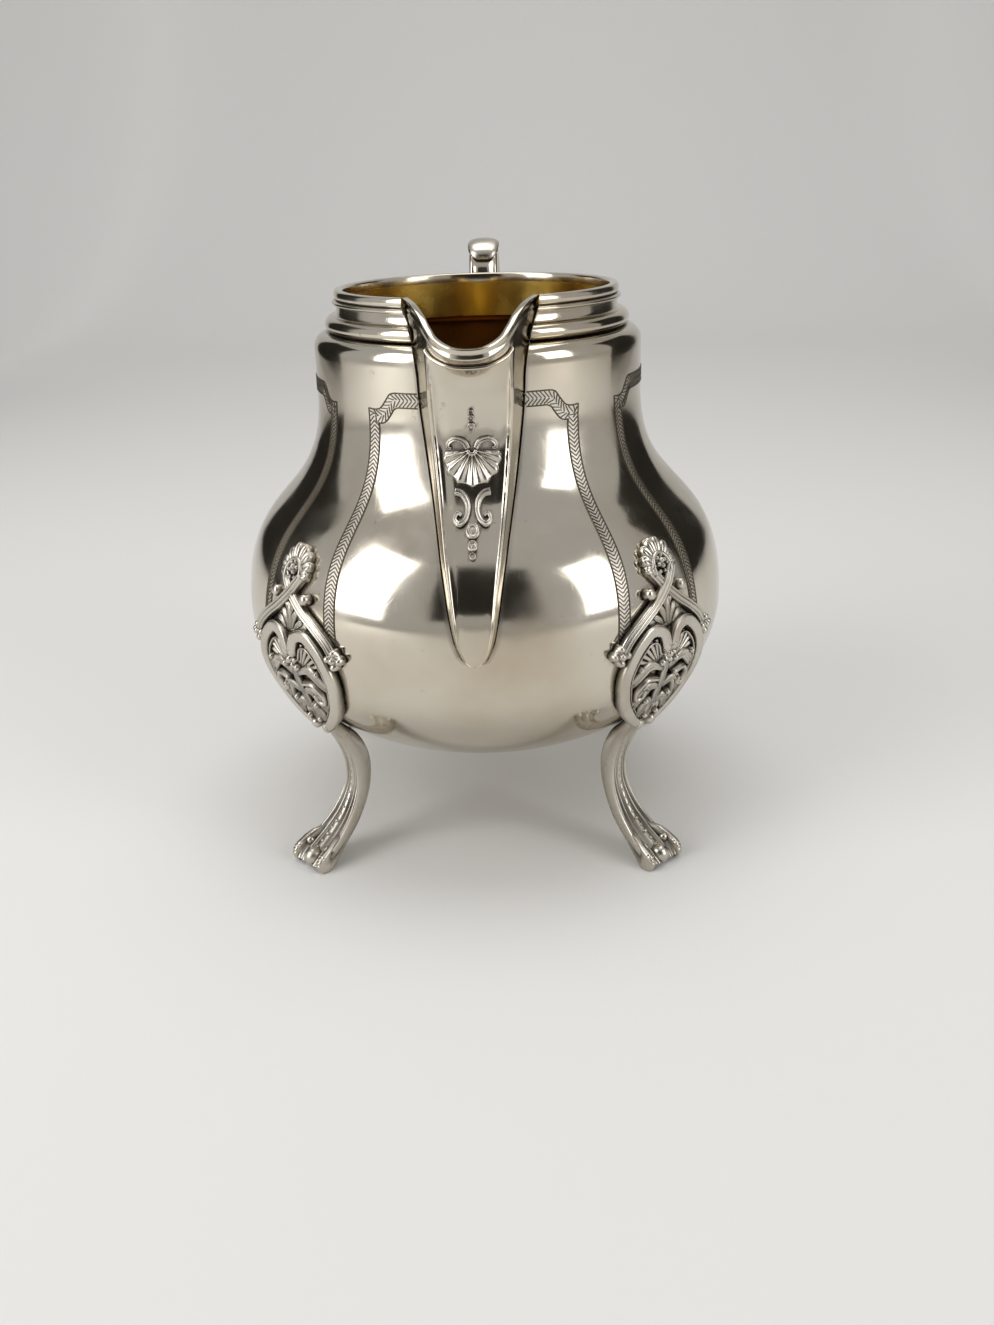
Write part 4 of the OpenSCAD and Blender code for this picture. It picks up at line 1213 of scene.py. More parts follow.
@dataclass(frozen=True)
class PaintedRecessShade:
    """Paints shade into recesses: finds how deep each point of a piece lies in a recess, by how much of its sky is
    covered nearby, so that its colour darkens there.
    """

    reach: float = 3.2
    rays: int = 18
    low: float = 0.3
    high: float = 0.85
    clear: float = 0.05

    def sky(self) -> Array:
        """Spreads directions over a half sphere, more of them near its top.

        Returns:
            The unit directions.
        """
        k = np.arange(self.rays) + 0.5
        up = np.sqrt(1 - k / self.rays)
        out = np.sqrt(1 - up * up)
        turn = k * math.pi * (3 - math.sqrt(5))
        return np.stack([out * np.cos(turn), out * np.sin(turn), up], -1)

    def tree(self, objs: Sequence[bpy.types.Object]) -> BVHTree:
        """Builds the search tree of what can cover a point.

        Args:
            objs: The pieces.

        Returns:
            The tree, in millimetres.
        """
        points, faces, start = [], [], 0
        for obj in objs:
            points += [v.co / MM for v in obj.data.vertices]
            faces += [[start + i for i in f.vertices] for f in obj.data.polygons]
            start = len(points)
        return BVHTree.FromPolygons(points, faces)

    def store(self, obj: bpy.types.Object, tree: BVHTree) -> None:
        """Stores the painted recess shade of one piece in a point attribute.

        Args:
            obj: The piece.
            tree: The search tree of what can cover it.
        """
        mesh = obj.data
        sky = self.sky()
        values = np.zeros(len(mesh.vertices), np.float32)
        for i, (vertex, normal) in enumerate(zip(mesh.vertices, mesh.vertex_normals)):
            n = np.array(normal.vector)
            side = np.cross(n, (0.0, 0.0, 1.0) if abs(n[2]) < 0.9 else (1.0, 0.0, 0.0))
            side /= np.linalg.norm(side)
            ways = sky @ np.stack([side, np.cross(n, side), n])
            start = Vector(np.array(vertex.co) / MM + self.clear * n)
            covered = sum(tree.ray_cast(start, Vector(way), self.reach)[0] is not None for way in ways)
            values[i] = covered / self.rays
        values = np.clip((values - self.low) / (self.high - self.low), 0, 1)
        attribute = mesh.attributes.new("painted_shade", "FLOAT", "POINT")
        attribute.data.foreach_set("value", values)


@dataclass
class Foot:
    """One cast foot: crest, crossed straps, openwork heart cartouche, fluted leg and scroll toe."""

    turn: float = 45.0
    crest_w: float = 8.2
    crest_root: float = 1.463
    cartouche_l: float = 22.4
    cartouche_w: float = 24.0
    foot_h: float = 31.0
    leave_h: float = 40.0
    band_w: float = 2.4
    band_t: float = 1.9
    strap_w: float = 1.8
    rosette_d: float = 4.4
    ball_d: float = 4.4
    filed: float = 0.3
    toe_reach: float = 53.5
    knee_inset: float = 2.7
    knee_drop: float = 13.0
    knee_w: float = 3.9
    toe_w: float = 10.0
    leg_t: float = 4.2
    gap: float = 0.23
    strap_lift: float = 0.35
    rim_line_w: float = 0.42
    curl_w: float = 0.9
    crest_lobes: int = 8
    lobe_turn: float = 25.0
    fan_ribs: int = 8
    fan_turn: float = 14.0
    rib_w: float = 1.15
    sprig_w: float = 1.5
    chase_first: int = 32
    chase_step: int = 3
    chase_share: float = 0.125
    floor_gap: float = 0.00001

    def place(self, s: float, z: float, proud: float) -> Array:
        """Maps a place on the foot's own surface, which leaves the body under leave_h, to a point.

        Args:
            s: How far across, along the body's curve.
            z: The height.
            proud: How far outside the surface.

        Returns:
            The point, on a foot that faces the spout's side.
        """
        slope = FORM.slope(self.leave_h) if z < self.leave_h else FORM.slope(z)
        r = FORM.radius(self.leave_h) + slope * (z - self.leave_h) if z < self.leave_h else FORM.radius(z)
        n = np.array([1.0, -slope]) / math.hypot(1, slope)
        r += self.gap
        a, out = s / r, r + proud * n[0]
        return np.array([out * math.sin(a), -out * math.cos(a), z + proud * n[1]])

    def spot(self, x: float, z: float) -> tuple[float, float]:
        """Turns shares of the cartouche's half width and length into a place across and up."""
        return x * self.cartouche_w / 2, self.foot_h + z * self.cartouche_l

    def line(self, shares: Sequence[tuple[float, float]], n: int, side: int = 1) -> Array:
        """Turns shares of the cartouche's half width and length into a smooth path."""
        path = smooth([self.spot(side * x, z) for x, z in shares], n)
        return by_side(path, side)

    def lay(self, mould: Mould, path: Array, width: float, thick: float, section: Section, share: Array,
            lift: float = 0.0) -> None:
        """Adds a strip on the foot's surface, raised by a lift."""
        strip(mould, path, width, thick, section, share, lambda s, z, p: self.place(s, z, p + lift))

    def boss(self, mould: Mould, x: float, z: float, d: float, h: float, petals: int = 0) -> None:
        """Adds a round boss, with petals if asked.

        Args:
            mould: The piece that it joins.
            x, z: Its middle, as shares of the cartouche's half width and length.
            d: Its diameter.
            h: Its height.
            petals: The number of its petals, or 0 for a plain dome.
        """
        s, up = self.spot(x, z)
        rings = []
        dome = ((1, 0), (1, 0.35), (0.93, 0.65), (0.78, 0.86), (0.55, 0.97), (0.25, 1.0))
        flower = ((1, 0), (1, 0.3), (0.96, 0.6), (0.84, 0.85), (0.66, 0.95), (0.46, 0.86), (0.34, 0.68), (0.28, 0.95),
                  (0.14, 1.08))
        for share, height in flower if petals else dome:
            ring = []
            for a in np.linspace(0, 2 * np.pi, 36, endpoint=False):
                notch = (0.5 - 0.5 * math.cos(petals * a)) ** 1.6 if petals and share > 0.4 else 0.0
                r = d / 2 * share * (1 - 0.28 * notch)
                ring.append(self.place(s + r * math.cos(a), up + r * math.sin(a), h * height * (1 - 0.4 * notch)))
            rings.append(ring)
        mould.tube(rings)

    def crest(self, mould: Mould) -> None:
        """Adds the crest: a frill of rounded lobes round a flower, with a curl at each side.

        Args:
            mould: The casting.
        """
        _, root = self.spot(0, self.crest_root)
        for k in range(self.crest_lobes):
            a = math.radians((k - (self.crest_lobes - 1) / 2) * self.lobe_turn)
            reach = self.crest_w * (1 + 0.3 * math.cos(a)) / 2
            ways = np.linspace(0.42, 0.98, 10)
            path = np.array([[w * reach * math.sin(a), root + w * reach * math.cos(a)] for w in ways])
            share = np.interp(ways, [0.42, 0.6, 0.74], [0.5, 0.85, 1.0])
            share = np.where(ways > 0.74, np.sqrt(np.clip(1 - ((ways - 0.74) / 0.26) ** 2, 0.04, 1)), share)
            self.lay(mould, path, 0.27 * self.crest_w, self.band_t * (0.8 + 0.1 * (k % 2)), Section.LOBE, share)
        arc = smooth([(0.27 * self.crest_w * math.sin(a), root + 0.3 * self.crest_w * math.cos(a))
                      for a in np.radians(np.linspace(-115, 115, 9))], 4)
        self.lay(mould, arc, self.curl_w, self.band_t * 0.95, Section.ROUND, swell(Swell.EVEN, len(arc)))
        self.boss(mould, 0, self.crest_root + 0.05, self.crest_w * 0.36, self.band_t * 1.1, 5)
        for side in (-1, 1):
            curl = smooth([(side * x, root + z) for x, z in ((0.4, -0.6), (1.7, -0.9), (2.7, -0.1), (2.3, 0.7),
                                                             (1.6, 0.4))], 5)
            self.lay(mould, by_side(curl, side), self.curl_w, self.band_t * 0.8, Section.ROUND,
                     swell(Swell.EVEN, len(curl)))

    def openwork(self, mould: Mould) -> None:
        """Adds the straps, the heart's scroll bands, its foliage and its rosettes.

        Args:
            mould: The casting.
        """
        scroll = [(0.07, 0.8), (0.16, 0.93), (0.36, 0.975), (0.54, 0.935), (0.79, 0.79), (0.905, 0.575), (0.72, 0.31),
                  (0.42, 0.12), (0.13, 0)]
        inner = [(0.2, 0.74), (0.26, 0.84), (0.37, 0.865), (0.5, 0.835), (0.68, 0.72), (0.755, 0.56), (0.6, 0.34),
                 (0.34, 0.16)]
        strap = [(-0.23, 1.46), (-0.13, 1.395), (0, 1.315), (0.28, 1.19), (0.61, 1.07), (0.87, 0.955), (1.03, 0.835)]
        for side in (-1, 1):
            band = self.line(scroll, 8, side)
            share = np.interp(np.linspace(0, 1, len(band)), [0, 0.82, 1], [1, 1, 0.6])
            self.lay(mould, band, self.band_w, self.band_t, Section.BAND, by_side(share, side))
            rim = self.line(inner, 6, side)
            self.lay(mould, rim, self.rim_line_w, self.band_t * 0.7, Section.ROUND, swell(Swell.EVEN, len(rim)))
            path = self.line(strap, 8, side)
            self.lay(mould, path, self.strap_w * 1.1, self.band_t * 0.8, Section.RIBBED, swell(Swell.EVEN, len(path)),
                     self.strap_lift if side < 0 else 0.0)
            self.boss(mould, side * 0.085, 0.8, self.band_w * 0.95, self.band_t * 1.02)
            self.boss(mould, side * 1.03, 0.835, self.rosette_d, self.band_t * 1.15, 4)
            self.boss(mould, side * 0.37, 1.285, self.strap_w * 1.25, self.band_t * 1.05)
            self.boss(mould, side * 0.15, 0.01, self.band_w, self.band_t)
            self.ribbed_fan(mould, side)
            self.foliage(mould, side)
        stem = self.line([(0, 0.7), (0, 0.5), (0, 0.3), (0, 0.04)], 6)
        self.lay(mould, stem, 0.13 * self.cartouche_w / 2, self.band_t * 0.7, Section.LEAF,
                 swell(Swell.EVEN, len(stem)))
        self.boss(mould, 0, 0.73, self.rosette_d * 0.95, self.band_t, 5)
        field_path = self.line([(0, 0.97), (0, 1.14), (0, 1.3)], 6)
        share = np.interp(np.linspace(0, 1, len(field_path)), [0, 0.5, 1], [0.85, 0.6, 0.06])
        self.lay(mould, field_path, 1.1 * self.cartouche_w / 2, self.band_t * 0.3, Section.BAND, share)
        for x, z, lean, long in ((0, 0.99, 0, 0.24), (0.05, 1.0, 0.13, 0.17), (0.12, 0.99, 0.2, 0.1),
                                 (0.03, 1.13, 0.06, 0.11)):
            for side in (-1, 1) if x else (1,):
                path = self.line([(x, z), (x + 0.4 * lean, z + 0.55 * long), (x + lean, z + long)], 5, side)
                share = swell(Swell.BUD, len(path), 0.2)
                self.lay(mould, path, self.sprig_w, self.band_t * 0.62, Section.LEAF, by_side(share, side))

    def ribbed_fan(self, mould: Mould, side: int) -> None:
        """Adds the ribbed panel that fans out from the flower to one head of the heart.

        Args:
            mould: The casting.
            side: -1 for the left half, 1 for the right.
        """
        for k in range(self.fan_ribs):
            a = math.radians(8 + self.fan_turn * k)
            reach = 0.33 + 0.06 * math.sin(math.radians(26 * k))
            path = self.line([(0.18 + w * reach * 1.35 * math.cos(a), 0.63 + w * reach * 0.7 * math.sin(a))
                              for w in (0.1, 0.55, 1.0)], 4, side)
            share = np.linspace(0.45, 1, len(path))
            self.lay(mould, path, self.rib_w, self.band_t * 0.5, Section.ROUND, by_side(share, side))

    def foliage(self, mould: Mould, side: int) -> None:
        """Adds one half of the leaves and curls inside the heart.

        Args:
            mould: The casting.
            side: -1 for the left half, 1 for the right.
        """
        leaves = (
            (((0.06, 0.58), (0.42, 0.66), (0.76, 0.5)), 2.7, 0.9),
            (((0.04, 0.4), (0.34, 0.44), (0.56, 0.2)), 2.8, 0.95),
            (((0.03, 0.22), (0.2, 0.27), (0.33, 0.1)), 2.1, 1.0))
        for shares, width, height in leaves:
            path = self.line(shares, 7, side)
            share = swell(Swell.BUD, len(path), 0.3)
            self.lay(mould, path, width, self.band_t * height, Section.LEAF, by_side(share, side))
        curl = self.line(((0.2, 0.52), (0.44, 0.54), (0.6, 0.45), (0.55, 0.36), (0.42, 0.38), (0.42, 0.44)), 6, side)
        self.lay(mould, curl, 1.0, self.band_t, Section.ROUND, swell(Swell.EVEN, len(curl)))
        for x, z, d in ((0.27, 0.3, 1.3), (0.14, 0.12, 1.2), (0.16, 0.67, 1.5), (0.62, 0.66, 1.3)):
            self.boss(mould, side * x, z, d, self.band_t * 1.05)

    def leg(self, mould: Mould) -> None:
        """Adds the leg: two rims, two flutes and a raised, chased middle that widen towards the toe.

        Args:
            mould: The casting.
        """
        knee_r = FORM.radius(self.foot_h) - self.knee_inset
        knee_h, span = self.foot_h - self.knee_drop, self.toe_reach - knee_r
        points = []
        for (x, z) in ((0.38, 0.27), (0.55, 0.094), (-0.14, -0.098)):
            up = self.foot_h + z * self.cartouche_l
            points.append((float(-self.place(0, up, 0)[1]) + x * self.band_t, up))
        points += [(knee_r + x * span, knee_h + z * self.knee_drop) for x, z in ((0.135, 0.512), (0.015, 0.138))]
        points += [(knee_r + x * span, z * knee_h)
                   for x, z in ((0.03, 0.82), (0.22, 0.55), (0.51, 0.34), (0.85, 0.16), (0.98, 0.06))]
        widths = (1.3, 1.5, 1.2, 1.04, 1, 1.15, 1.5, 1.9, 2.15, 1.9)
        depths = (0.16, 0.38, 0.58, 0.92, 1.05, 1, 0.95, 0.85, 0.7, 0.5)
        path = smooth([(r, z, w * self.knee_w / 2, d * self.leg_t)
                       for (r, z), w, d in zip(points, widths, depths)], 10)
        t = headings(path[:, :2])
        half = [(1, 0.5), (1, 0.1), (0.96, 0.02), (0.88, 0), (0.8, 0.03), (0.73, 0.17), (0.66, 0.2), (0.6, 0.17),
                (0.54, 0.05), (0.48, 0.04), (0.42, 0.07), (0.37, 0.17), (0.32, 0.17), (0.27, 0.06), (0.14, 0.0)]
        section = ([(-x, y) for x, y in half] + [(0, -0.02)] + half[::-1]
                   + [(0.9, 0.8), (0.6, 1), (-0.6, 1), (-0.9, 0.8)])
        rings = []
        for p, d in zip(path, t):
            inwards = np.array([d[1], -d[0]])
            rings.append([[u * p[2], -(p[0] + v * p[3] * inwards[0]), p[1] + v * p[3] * inwards[1]]
                          for u, v in section])
        mould.tube(rings[::-1])
        for i in range(self.chase_first, len(path) - 2 * self.chase_step, self.chase_step):
            p, inwards = path[i], np.array([t[i][1], -t[i][0]])
            r = self.chase_share * p[2] * (1.0 if i % 2 else 0.78)
            mould.ball(np.array([0, -(p[0] + 0.1 * r * inwards[0]), p[1] + 0.1 * r * inwards[1]]), (r * 1.3, r, r), 10)

    def toe(self, mould: Mould) -> None:
        """Adds the toe: balls held between two scroll flanges with reeded noses.

        Args:
            mould: The casting.
        """
        reach = self.toe_reach - self.ball_d / 2
        height = self.ball_d / 2 - self.filed
        r = self.ball_d / 2
        mould.ball(np.array([0, -reach, height]), (r * 0.95, r, r), 28)
        for side in (-1, 1):
            mould.ball(np.array([side * 0.31 * self.toe_w, -reach + 1.5, height + 2.1]), (1.0, 1.0, 1.0), 16)
        t = 0.34 * self.ball_d
        nose, back = 1.05 * r, 0.6 * r
        heel = reach - 1.35 * self.ball_d
        outline = []
        for y, z, radius, a0, a1, reeds in ((reach, height, nose, -115, 75, True),
                                            (heel, self.ball_d * 1.15, back, 75, 245, False)):
            for a in np.linspace(a0, a1, 49 if reeds else 12):
                reed = 0.035 * math.cos(math.radians(a * 16)) - 0.035 if reeds and 5 < a < 75 else 0.0
                k = radius * (1 + reed)
                outline.append((y + k * math.cos(math.radians(a)), z + k * math.sin(math.radians(a))))
            outline += [tuple(np.array(outline[-1]) + (np.array([heel, self.ball_d * 1.15]) - [reach, height]) * w)
                        for w in (0.3, 0.6)] if reeds else []
        middle = np.mean(outline, 0)
        for side in (-1, 1):
            rings = []
            for x, grow in ((-0.5, 0.84), (-0.44, 0.94), (-0.3, 1), (0.1, 1), (0.27, 0.97), (0.4, 0.9), (0.47, 0.78),
                            (0.5, 0.6), (0.5, 0.3)):
                ring = []
                for y, z in outline:
                    w = min(max((y - heel) / (reach - heel), 0), 1)
                    far = self.toe_w / 2 * (0.72 + 0.28 * w * w * (3 - 2 * w))
                    ring.append([side * (far - t / 2 + x * t), -(middle[0] + (y - middle[0]) * grow),
                                 middle[1] + (z - middle[1]) * grow])
                rings.append(ring)
            mould.tube(rings if side > 0 else [ring[::-1] for ring in rings])

    def casting(self) -> bpy.types.Object:
        """Joins the foot's parts into one casting that faces the spout's side.

        Returns:
            The casting.
        """
        mould = Mould()
        self.crest(mould)
        self.openwork(mould)
        self.leg(mould)
        self.toe(mould)
        obj = mould.piece("foot_casting", (Skin.CAST,))
        for vertex in obj.data.vertices:
            vertex.co.z = max(vertex.co.z, self.floor_gap)
        face_outwards(obj)
        return obj

    def build_all(self, cover: bpy.types.Object) -> list[bpy.types.Object]:
        """Makes the four feet from one casting.

        Args:
            cover: The body, which also shades the casting's recesses.

        Returns:
            The four feet.
        """
        master = self.casting()
        # Painted shade: each point of the casting darkens by how much of its sky the casting and the body cover.
        toning = PaintedRecessShade()
        shift = Matrix.Translation((0, AXIS_Y * MM, 0))
        toning.store(master, toning.tree([master, cover]))
        feet = []
        for name, angle in (("front_left", -self.turn), ("front_right", self.turn), ("back_left", self.turn - 180),
                            ("back_right", 180 - self.turn)):
            mesh = master.data.copy()
            mesh.transform(shift @ Matrix.Rotation(math.radians(angle), 4, "Z") @ shift.inverted())
            obj = new_object("cast_foot_" + name, mesh)
            feet.append(settle(obj, Slot.CAST, ["foot_" + name]))
        bpy.data.objects.remove(master)
        return feet


@dataclass
class Handle:
    """The scroll handle, its thumb leaf and its two joints."""

    reach: float = 66.0
    top: float = 120.5
    foot_h: float = 62.0
    root_h: float = 99.0
    width: float = 6.6
    thick: float = 3.2
    leaf_w: float = 9.0
    leaf_t: float = 1.3
    joint_w: float = 10.0
    joint_t: float = 1.0
    seat: float = 0.12
    leaf_gap: float = 0.03
    plate_rings: int = 25
    plate_ways: tuple[float, ...] = (-1, -0.85, -0.5, 0, 0.4, 0.75, 0.9)
    plate_shares: tuple[float, ...] = (0.12, 0.4, 0.85, 1, 0.85, 0.5, 0.15)
    fine: int = 8

    @property
    def neck_plate_h(self) -> float:
        """The height of the upper plate's middle."""
        return self.root_h - 0.17 * self.joint_w

    def plate_reach(self, height: float) -> float:
        """Returns how far the plate at a height stands out from the axis."""
        return max(FORM.radius(height + w * self.joint_w / 2) for w in self.plate_ways) + self.seat + self.joint_t

    def path(self) -> Array:
        """Draws the middle line of the strap.

        Returns:
            Its points as [behind the axis, height].
        """
        root_y = self.plate_reach(self.neck_plate_h) + self.seat
        foot_y = self.plate_reach(self.foot_h) + SOLDER + self.thick / 2
        back = self.reach - self.thick / 2
        top = self.top - self.leaf_t - self.thick / 2 - 2 * SOLDER
        rise = [(0, 0), (0.7, 0.03), (1.2, 0.95)]
        loop = [(0.125, 0.8), (0.15, 0.925), (0.25, 0.99), (0.42, 0.997), (0.66, 0.925), (0.87, 0.76), (0.99, 0.56),
                (0.985, 0.37), (0.86, 0.2), (0.68, 0.09)]
        volute = [(0, 0), (0, -1.1), (0.4, -2), (1.35, -2.05), (1.8, -1.25), (1.25, -0.6)]
        points = ([(root_y + y * self.thick, self.root_h + z * self.thick) for y, z in rise]
                  + [(root_y + y * (back - root_y), self.foot_h + z * (top - self.foot_h)) for y, z in loop]
                  + [(foot_y + y * self.thick, self.foot_h + z * self.thick) for y, z in volute])
        return smooth(points, self.fine)

    def build(self) -> list[bpy.types.Object]:
        """Makes the strap and its leaf.

        Returns:
            The strap and the leaf.
        """
        path = self.path()
        t = headings(path)
        n = len(path)
        share = 0.86 + 0.14 * np.sin(np.pi * np.arange(n) / (n - 1)) ** 0.7
        rims = [(0, -0.66), (0.35, -0.7), (0.58, -0.82), (0.7, -0.96), (0.8, -1), (0.91, -0.93), (0.99, -0.72),
                (1.02, -0.4), (1.02, 0.1), (0.97, 0.5), (0.8, 0.85), (0.5, 0.96)]
        section = rims + [(0, 0.98)] + [(-x, y) for x, y in rims[:0:-1]]

        def point(i: int, x: float, depth: float) -> list[float]:
            """Returns the point at x and a depth from point i of the strap's middle line."""
            return [x, path[i][0] + depth * t[i][1], path[i][1] - depth * t[i][0]]

        mould = Mould()
        mould.tube([[point(i, u * share[i] * self.width / 2, v * self.thick / 2) for u, v in section]
                    for i in range(n)])
        made = [mould.finish("handle_strap", "handle", Slot.PLATE, (Skin.PLATE,), 60)]
        first, last = 4 * self.fine + 3, 7 * self.fine
        half = [(0, -0.97), (0.3, -0.94), (0.55, -0.84), (0.75, -0.68), (0.9, -0.46), (0.98, -0.22), (1, 0)]
        section = [(-x, y) for x, y in half[:0:-1]] + half
        ways = np.linspace(0, 1, last - first + 1)
        widths = np.interp(ways, [0, 0.06, 0.15, 0.33, 0.5, 0.67, 0.83, 1],
                           [0.3, 0.62, 0.76, 0.82, 0.8, 0.68, 0.42, 0.12])
        depths = np.interp(ways, [0, 0.1, 0.3, 0.8, 1], [0.3, 0.8, 1, 0.9, 0.4])
        mould = Mould()
        mould.tube([[point(i, u * widths[i - first] * self.leaf_w / 2,
                           v * depths[i - first] * self.leaf_t - self.thick / 2 - self.leaf_gap)
                     for u, v in section] for i in range(first, last + 1)])
        obj = mould.piece("thumb_leaf", (Skin.CAST,))
        face_outwards(obj)
        return made + [settle(obj, Slot.CAST, ["handle_leaf"])]

    def build_joints(self) -> list[bpy.types.Object]:
        """Makes the two shaped plates that hold the handle.

        Returns:
            The plate on the neck and the plate on the belly.
        """
        made = []
        t, knots = np.linspace(0, 1, self.plate_rings), np.linspace(0, 1, len(self.plate_ways))
        way, share = np.interp(t, knots, self.plate_ways), np.interp(t, knots, self.plate_shares)
        for name, node, height in (("neck_plate", "handle_upper_joint", self.neck_plate_h),
                                   ("belly_plate", "handle_lower_joint", self.foot_h)):
            path = np.stack([np.zeros(self.plate_rings), height + way * self.joint_w / 2], -1)
            mould = Mould()
            strip(mould, path, self.joint_w, self.joint_t, Section.LEAF, share,
                  lambda x, z, p: FORM.on_body(x, z, p + self.seat))
            made.append(mould.turned(180).finish(name, node, Slot.PLATE, (Skin.PLATE,)))
        return made


# Engraved panels


@dataclass
class EngravedPanels:
    """The engraved borders of the body's panels: two fine lines and a frosted band with two rows of bright cuts."""

    line_r: float = 0.16
    cut_step: float = 0.8
    cut_long: float = 1.5
    cut_wide: float = 0.2
    cut_lean: float = 0.75
    row_share: float = 0.27
    lift: float = 0.03
    sink: float = 0.3
    spout_turn: float = 17.6
    handle_turn: float = 9.5
    outer_top: tuple[tuple[float, float], ...] = (
        (25.5, 97.4), (27.4, 97.1), (29.2, 95.8), (31.2, 94.5), (33.5, 94.1), (36.2, 94.2))
    inner_top: tuple[tuple[float, float], ...] = (
        (24.4, 94.7), (26.0, 94.3), (27.4, 93.2), (29.0, 92.1), (30.6, 91.6), (32.2, 91.6))
    outer_side: tuple[tuple[float, float], ...] = (
        (36.2, 94.2), (36.0, 91), (35.7, 85), (35.5, 75), (35.5, 65), (35.0, 57), (34.2, 50.5))
    inner_side: tuple[tuple[float, float], ...] = (
        (32.2, 91.6), (31.9, 90), (31.9, 85), (32.1, 75), (32.4, 65), (32.1, 57), (31.4, 50.5))

    def borders(self) -> list[tuple[Array, Array]]:
        """Repeats the panel's border beside each foot, on both of its sides.

        Returns:
            The outer and inner line of each border as [degrees from the spout, height].
        """
        out = []
        for quarter in range(4):
            for flank in (False, True):
                start = 0.0 if flank else (self.handle_turn if quarter > 1 else self.spout_turn)
                pair = []
                for top, side in ((self.outer_top, self.outer_side), (self.inner_top, self.inner_side)):
                    flat = np.linspace((start, top[0][1]), top[0], 12)[:-1]
                    line = np.vstack([flat, smooth(top, 6)[:-1], smooth(side, 10)])
                    angle = 90 - line[:, 0] if flank else line[:, 0]
                    angle = 180 - angle if quarter > 1 else angle
                    pair.append(np.stack([angle * (1 if quarter % 2 else -1), line[:, 1]], -1))
                out.append((pair[0], pair[1]))
        return out

    def path_object(self, name: str, lines: Sequence[Array], proud: float) -> bpy.types.Object:
        """Makes an object that holds lines on the body as edges, with the surface's outward direction.

        Args:
            name: The object's name.
            lines: The lines as [degrees from the spout, height].
            proud: How far outside the surface they lie.

        Returns:
            The object.
        """
        mesh = bpy.data.meshes.new(name)
        points, normals, edges = [], [], []
        for line in lines:
            start = len(points)
            for deg, z in line:
                p, n = FORM.at_angle(deg, z, proud)
                points.append((p + [0, AXIS_Y, 0]) * MM)
                normals.append(n)
            edges += [(i, i + 1) for i in range(start, len(points) - 1)]
        mesh.from_pydata([tuple(p) for p in points], edges, [])
        attribute = mesh.attributes.new("outward", "FLOAT_VECTOR", "POINT")
        attribute.data.foreach_set("vector", np.array(normals, np.float32).ravel())
        obj = new_object(name, mesh)
        return obj

    def start_tree(self, name: str, sizes: Sequence[str]) -> tuple[Nodes, bpy.types.Node, bpy.types.Node]:
        """Starts a geometry tree that turns the incoming edges to a curve.

        Args:
            name: The tree's name.
            sizes: The names of its inputs for sizes.

        Returns:
            The tree's helper, its input node and the node that puts out the curve.
        """
        tree = bpy.data.node_groups.new(name, "GeometryNodeTree")
        io = tree.interface
        io.new_socket("Geometry", in_out="INPUT", socket_type="NodeSocketGeometry")
        for size in sizes:
            io.new_socket(size, in_out="INPUT", socket_type="NodeSocketFloat")
        io.new_socket("Finish", in_out="INPUT", socket_type="NodeSocketMaterial")
        io.new_socket("Geometry", in_out="OUTPUT", socket_type="NodeSocketGeometry")
        n = Nodes(tree)
        entry = n.add("NodeGroupInput")
        curve = n.add("GeometryNodeMeshToCurve")
        n.link(entry.outputs["Geometry"], curve.inputs["Mesh"])
        return n, entry, curve

    def end_tree(self, n: Nodes, entry: bpy.types.Node, made: bpy.types.NodeSocket) -> bpy.types.NodeTree:
        """Ends a geometry tree: realizes its instances and sets its material.

        Args:
            n: The tree's helper.
            entry: The tree's input node.
            made: The geometry that the tree has made.

        Returns:
            The tree.
        """
        real = n.add("GeometryNodeRealizeInstances")
        n.link(made, real.inputs["Geometry"])
        dress = n.add("GeometryNodeSetMaterial")
        n.link(real.outputs["Geometry"], dress.inputs["Geometry"])
        n.link(entry.outputs["Finish"], dress.inputs["Material"])
        n.link(dress.outputs["Geometry"], n.add("NodeGroupOutput").inputs["Geometry"])
        return n.tree

    def line_tree(self) -> bpy.types.NodeTree:
        """Builds the tree that draws a fine round line along each path.

        Returns:
            The tree.
        """
        n, entry, curve = self.start_tree("engraved_line", ["Line Radius"])
        profile = n.add("GeometryNodeCurvePrimitiveCircle", mode="RADIUS")
        profile.inputs["Resolution"].default_value = 6
        n.link(entry.outputs["Line Radius"], profile.inputs["Radius"])
        wire = n.add("GeometryNodeCurveToMesh")
        wire.inputs["Fill Caps"].default_value = True
        n.link(curve.outputs["Curve"], wire.inputs["Curve"])
        n.link(profile.outputs["Curve"], wire.inputs["Profile Curve"])
        return self.end_tree(n, entry, wire.outputs["Mesh"])

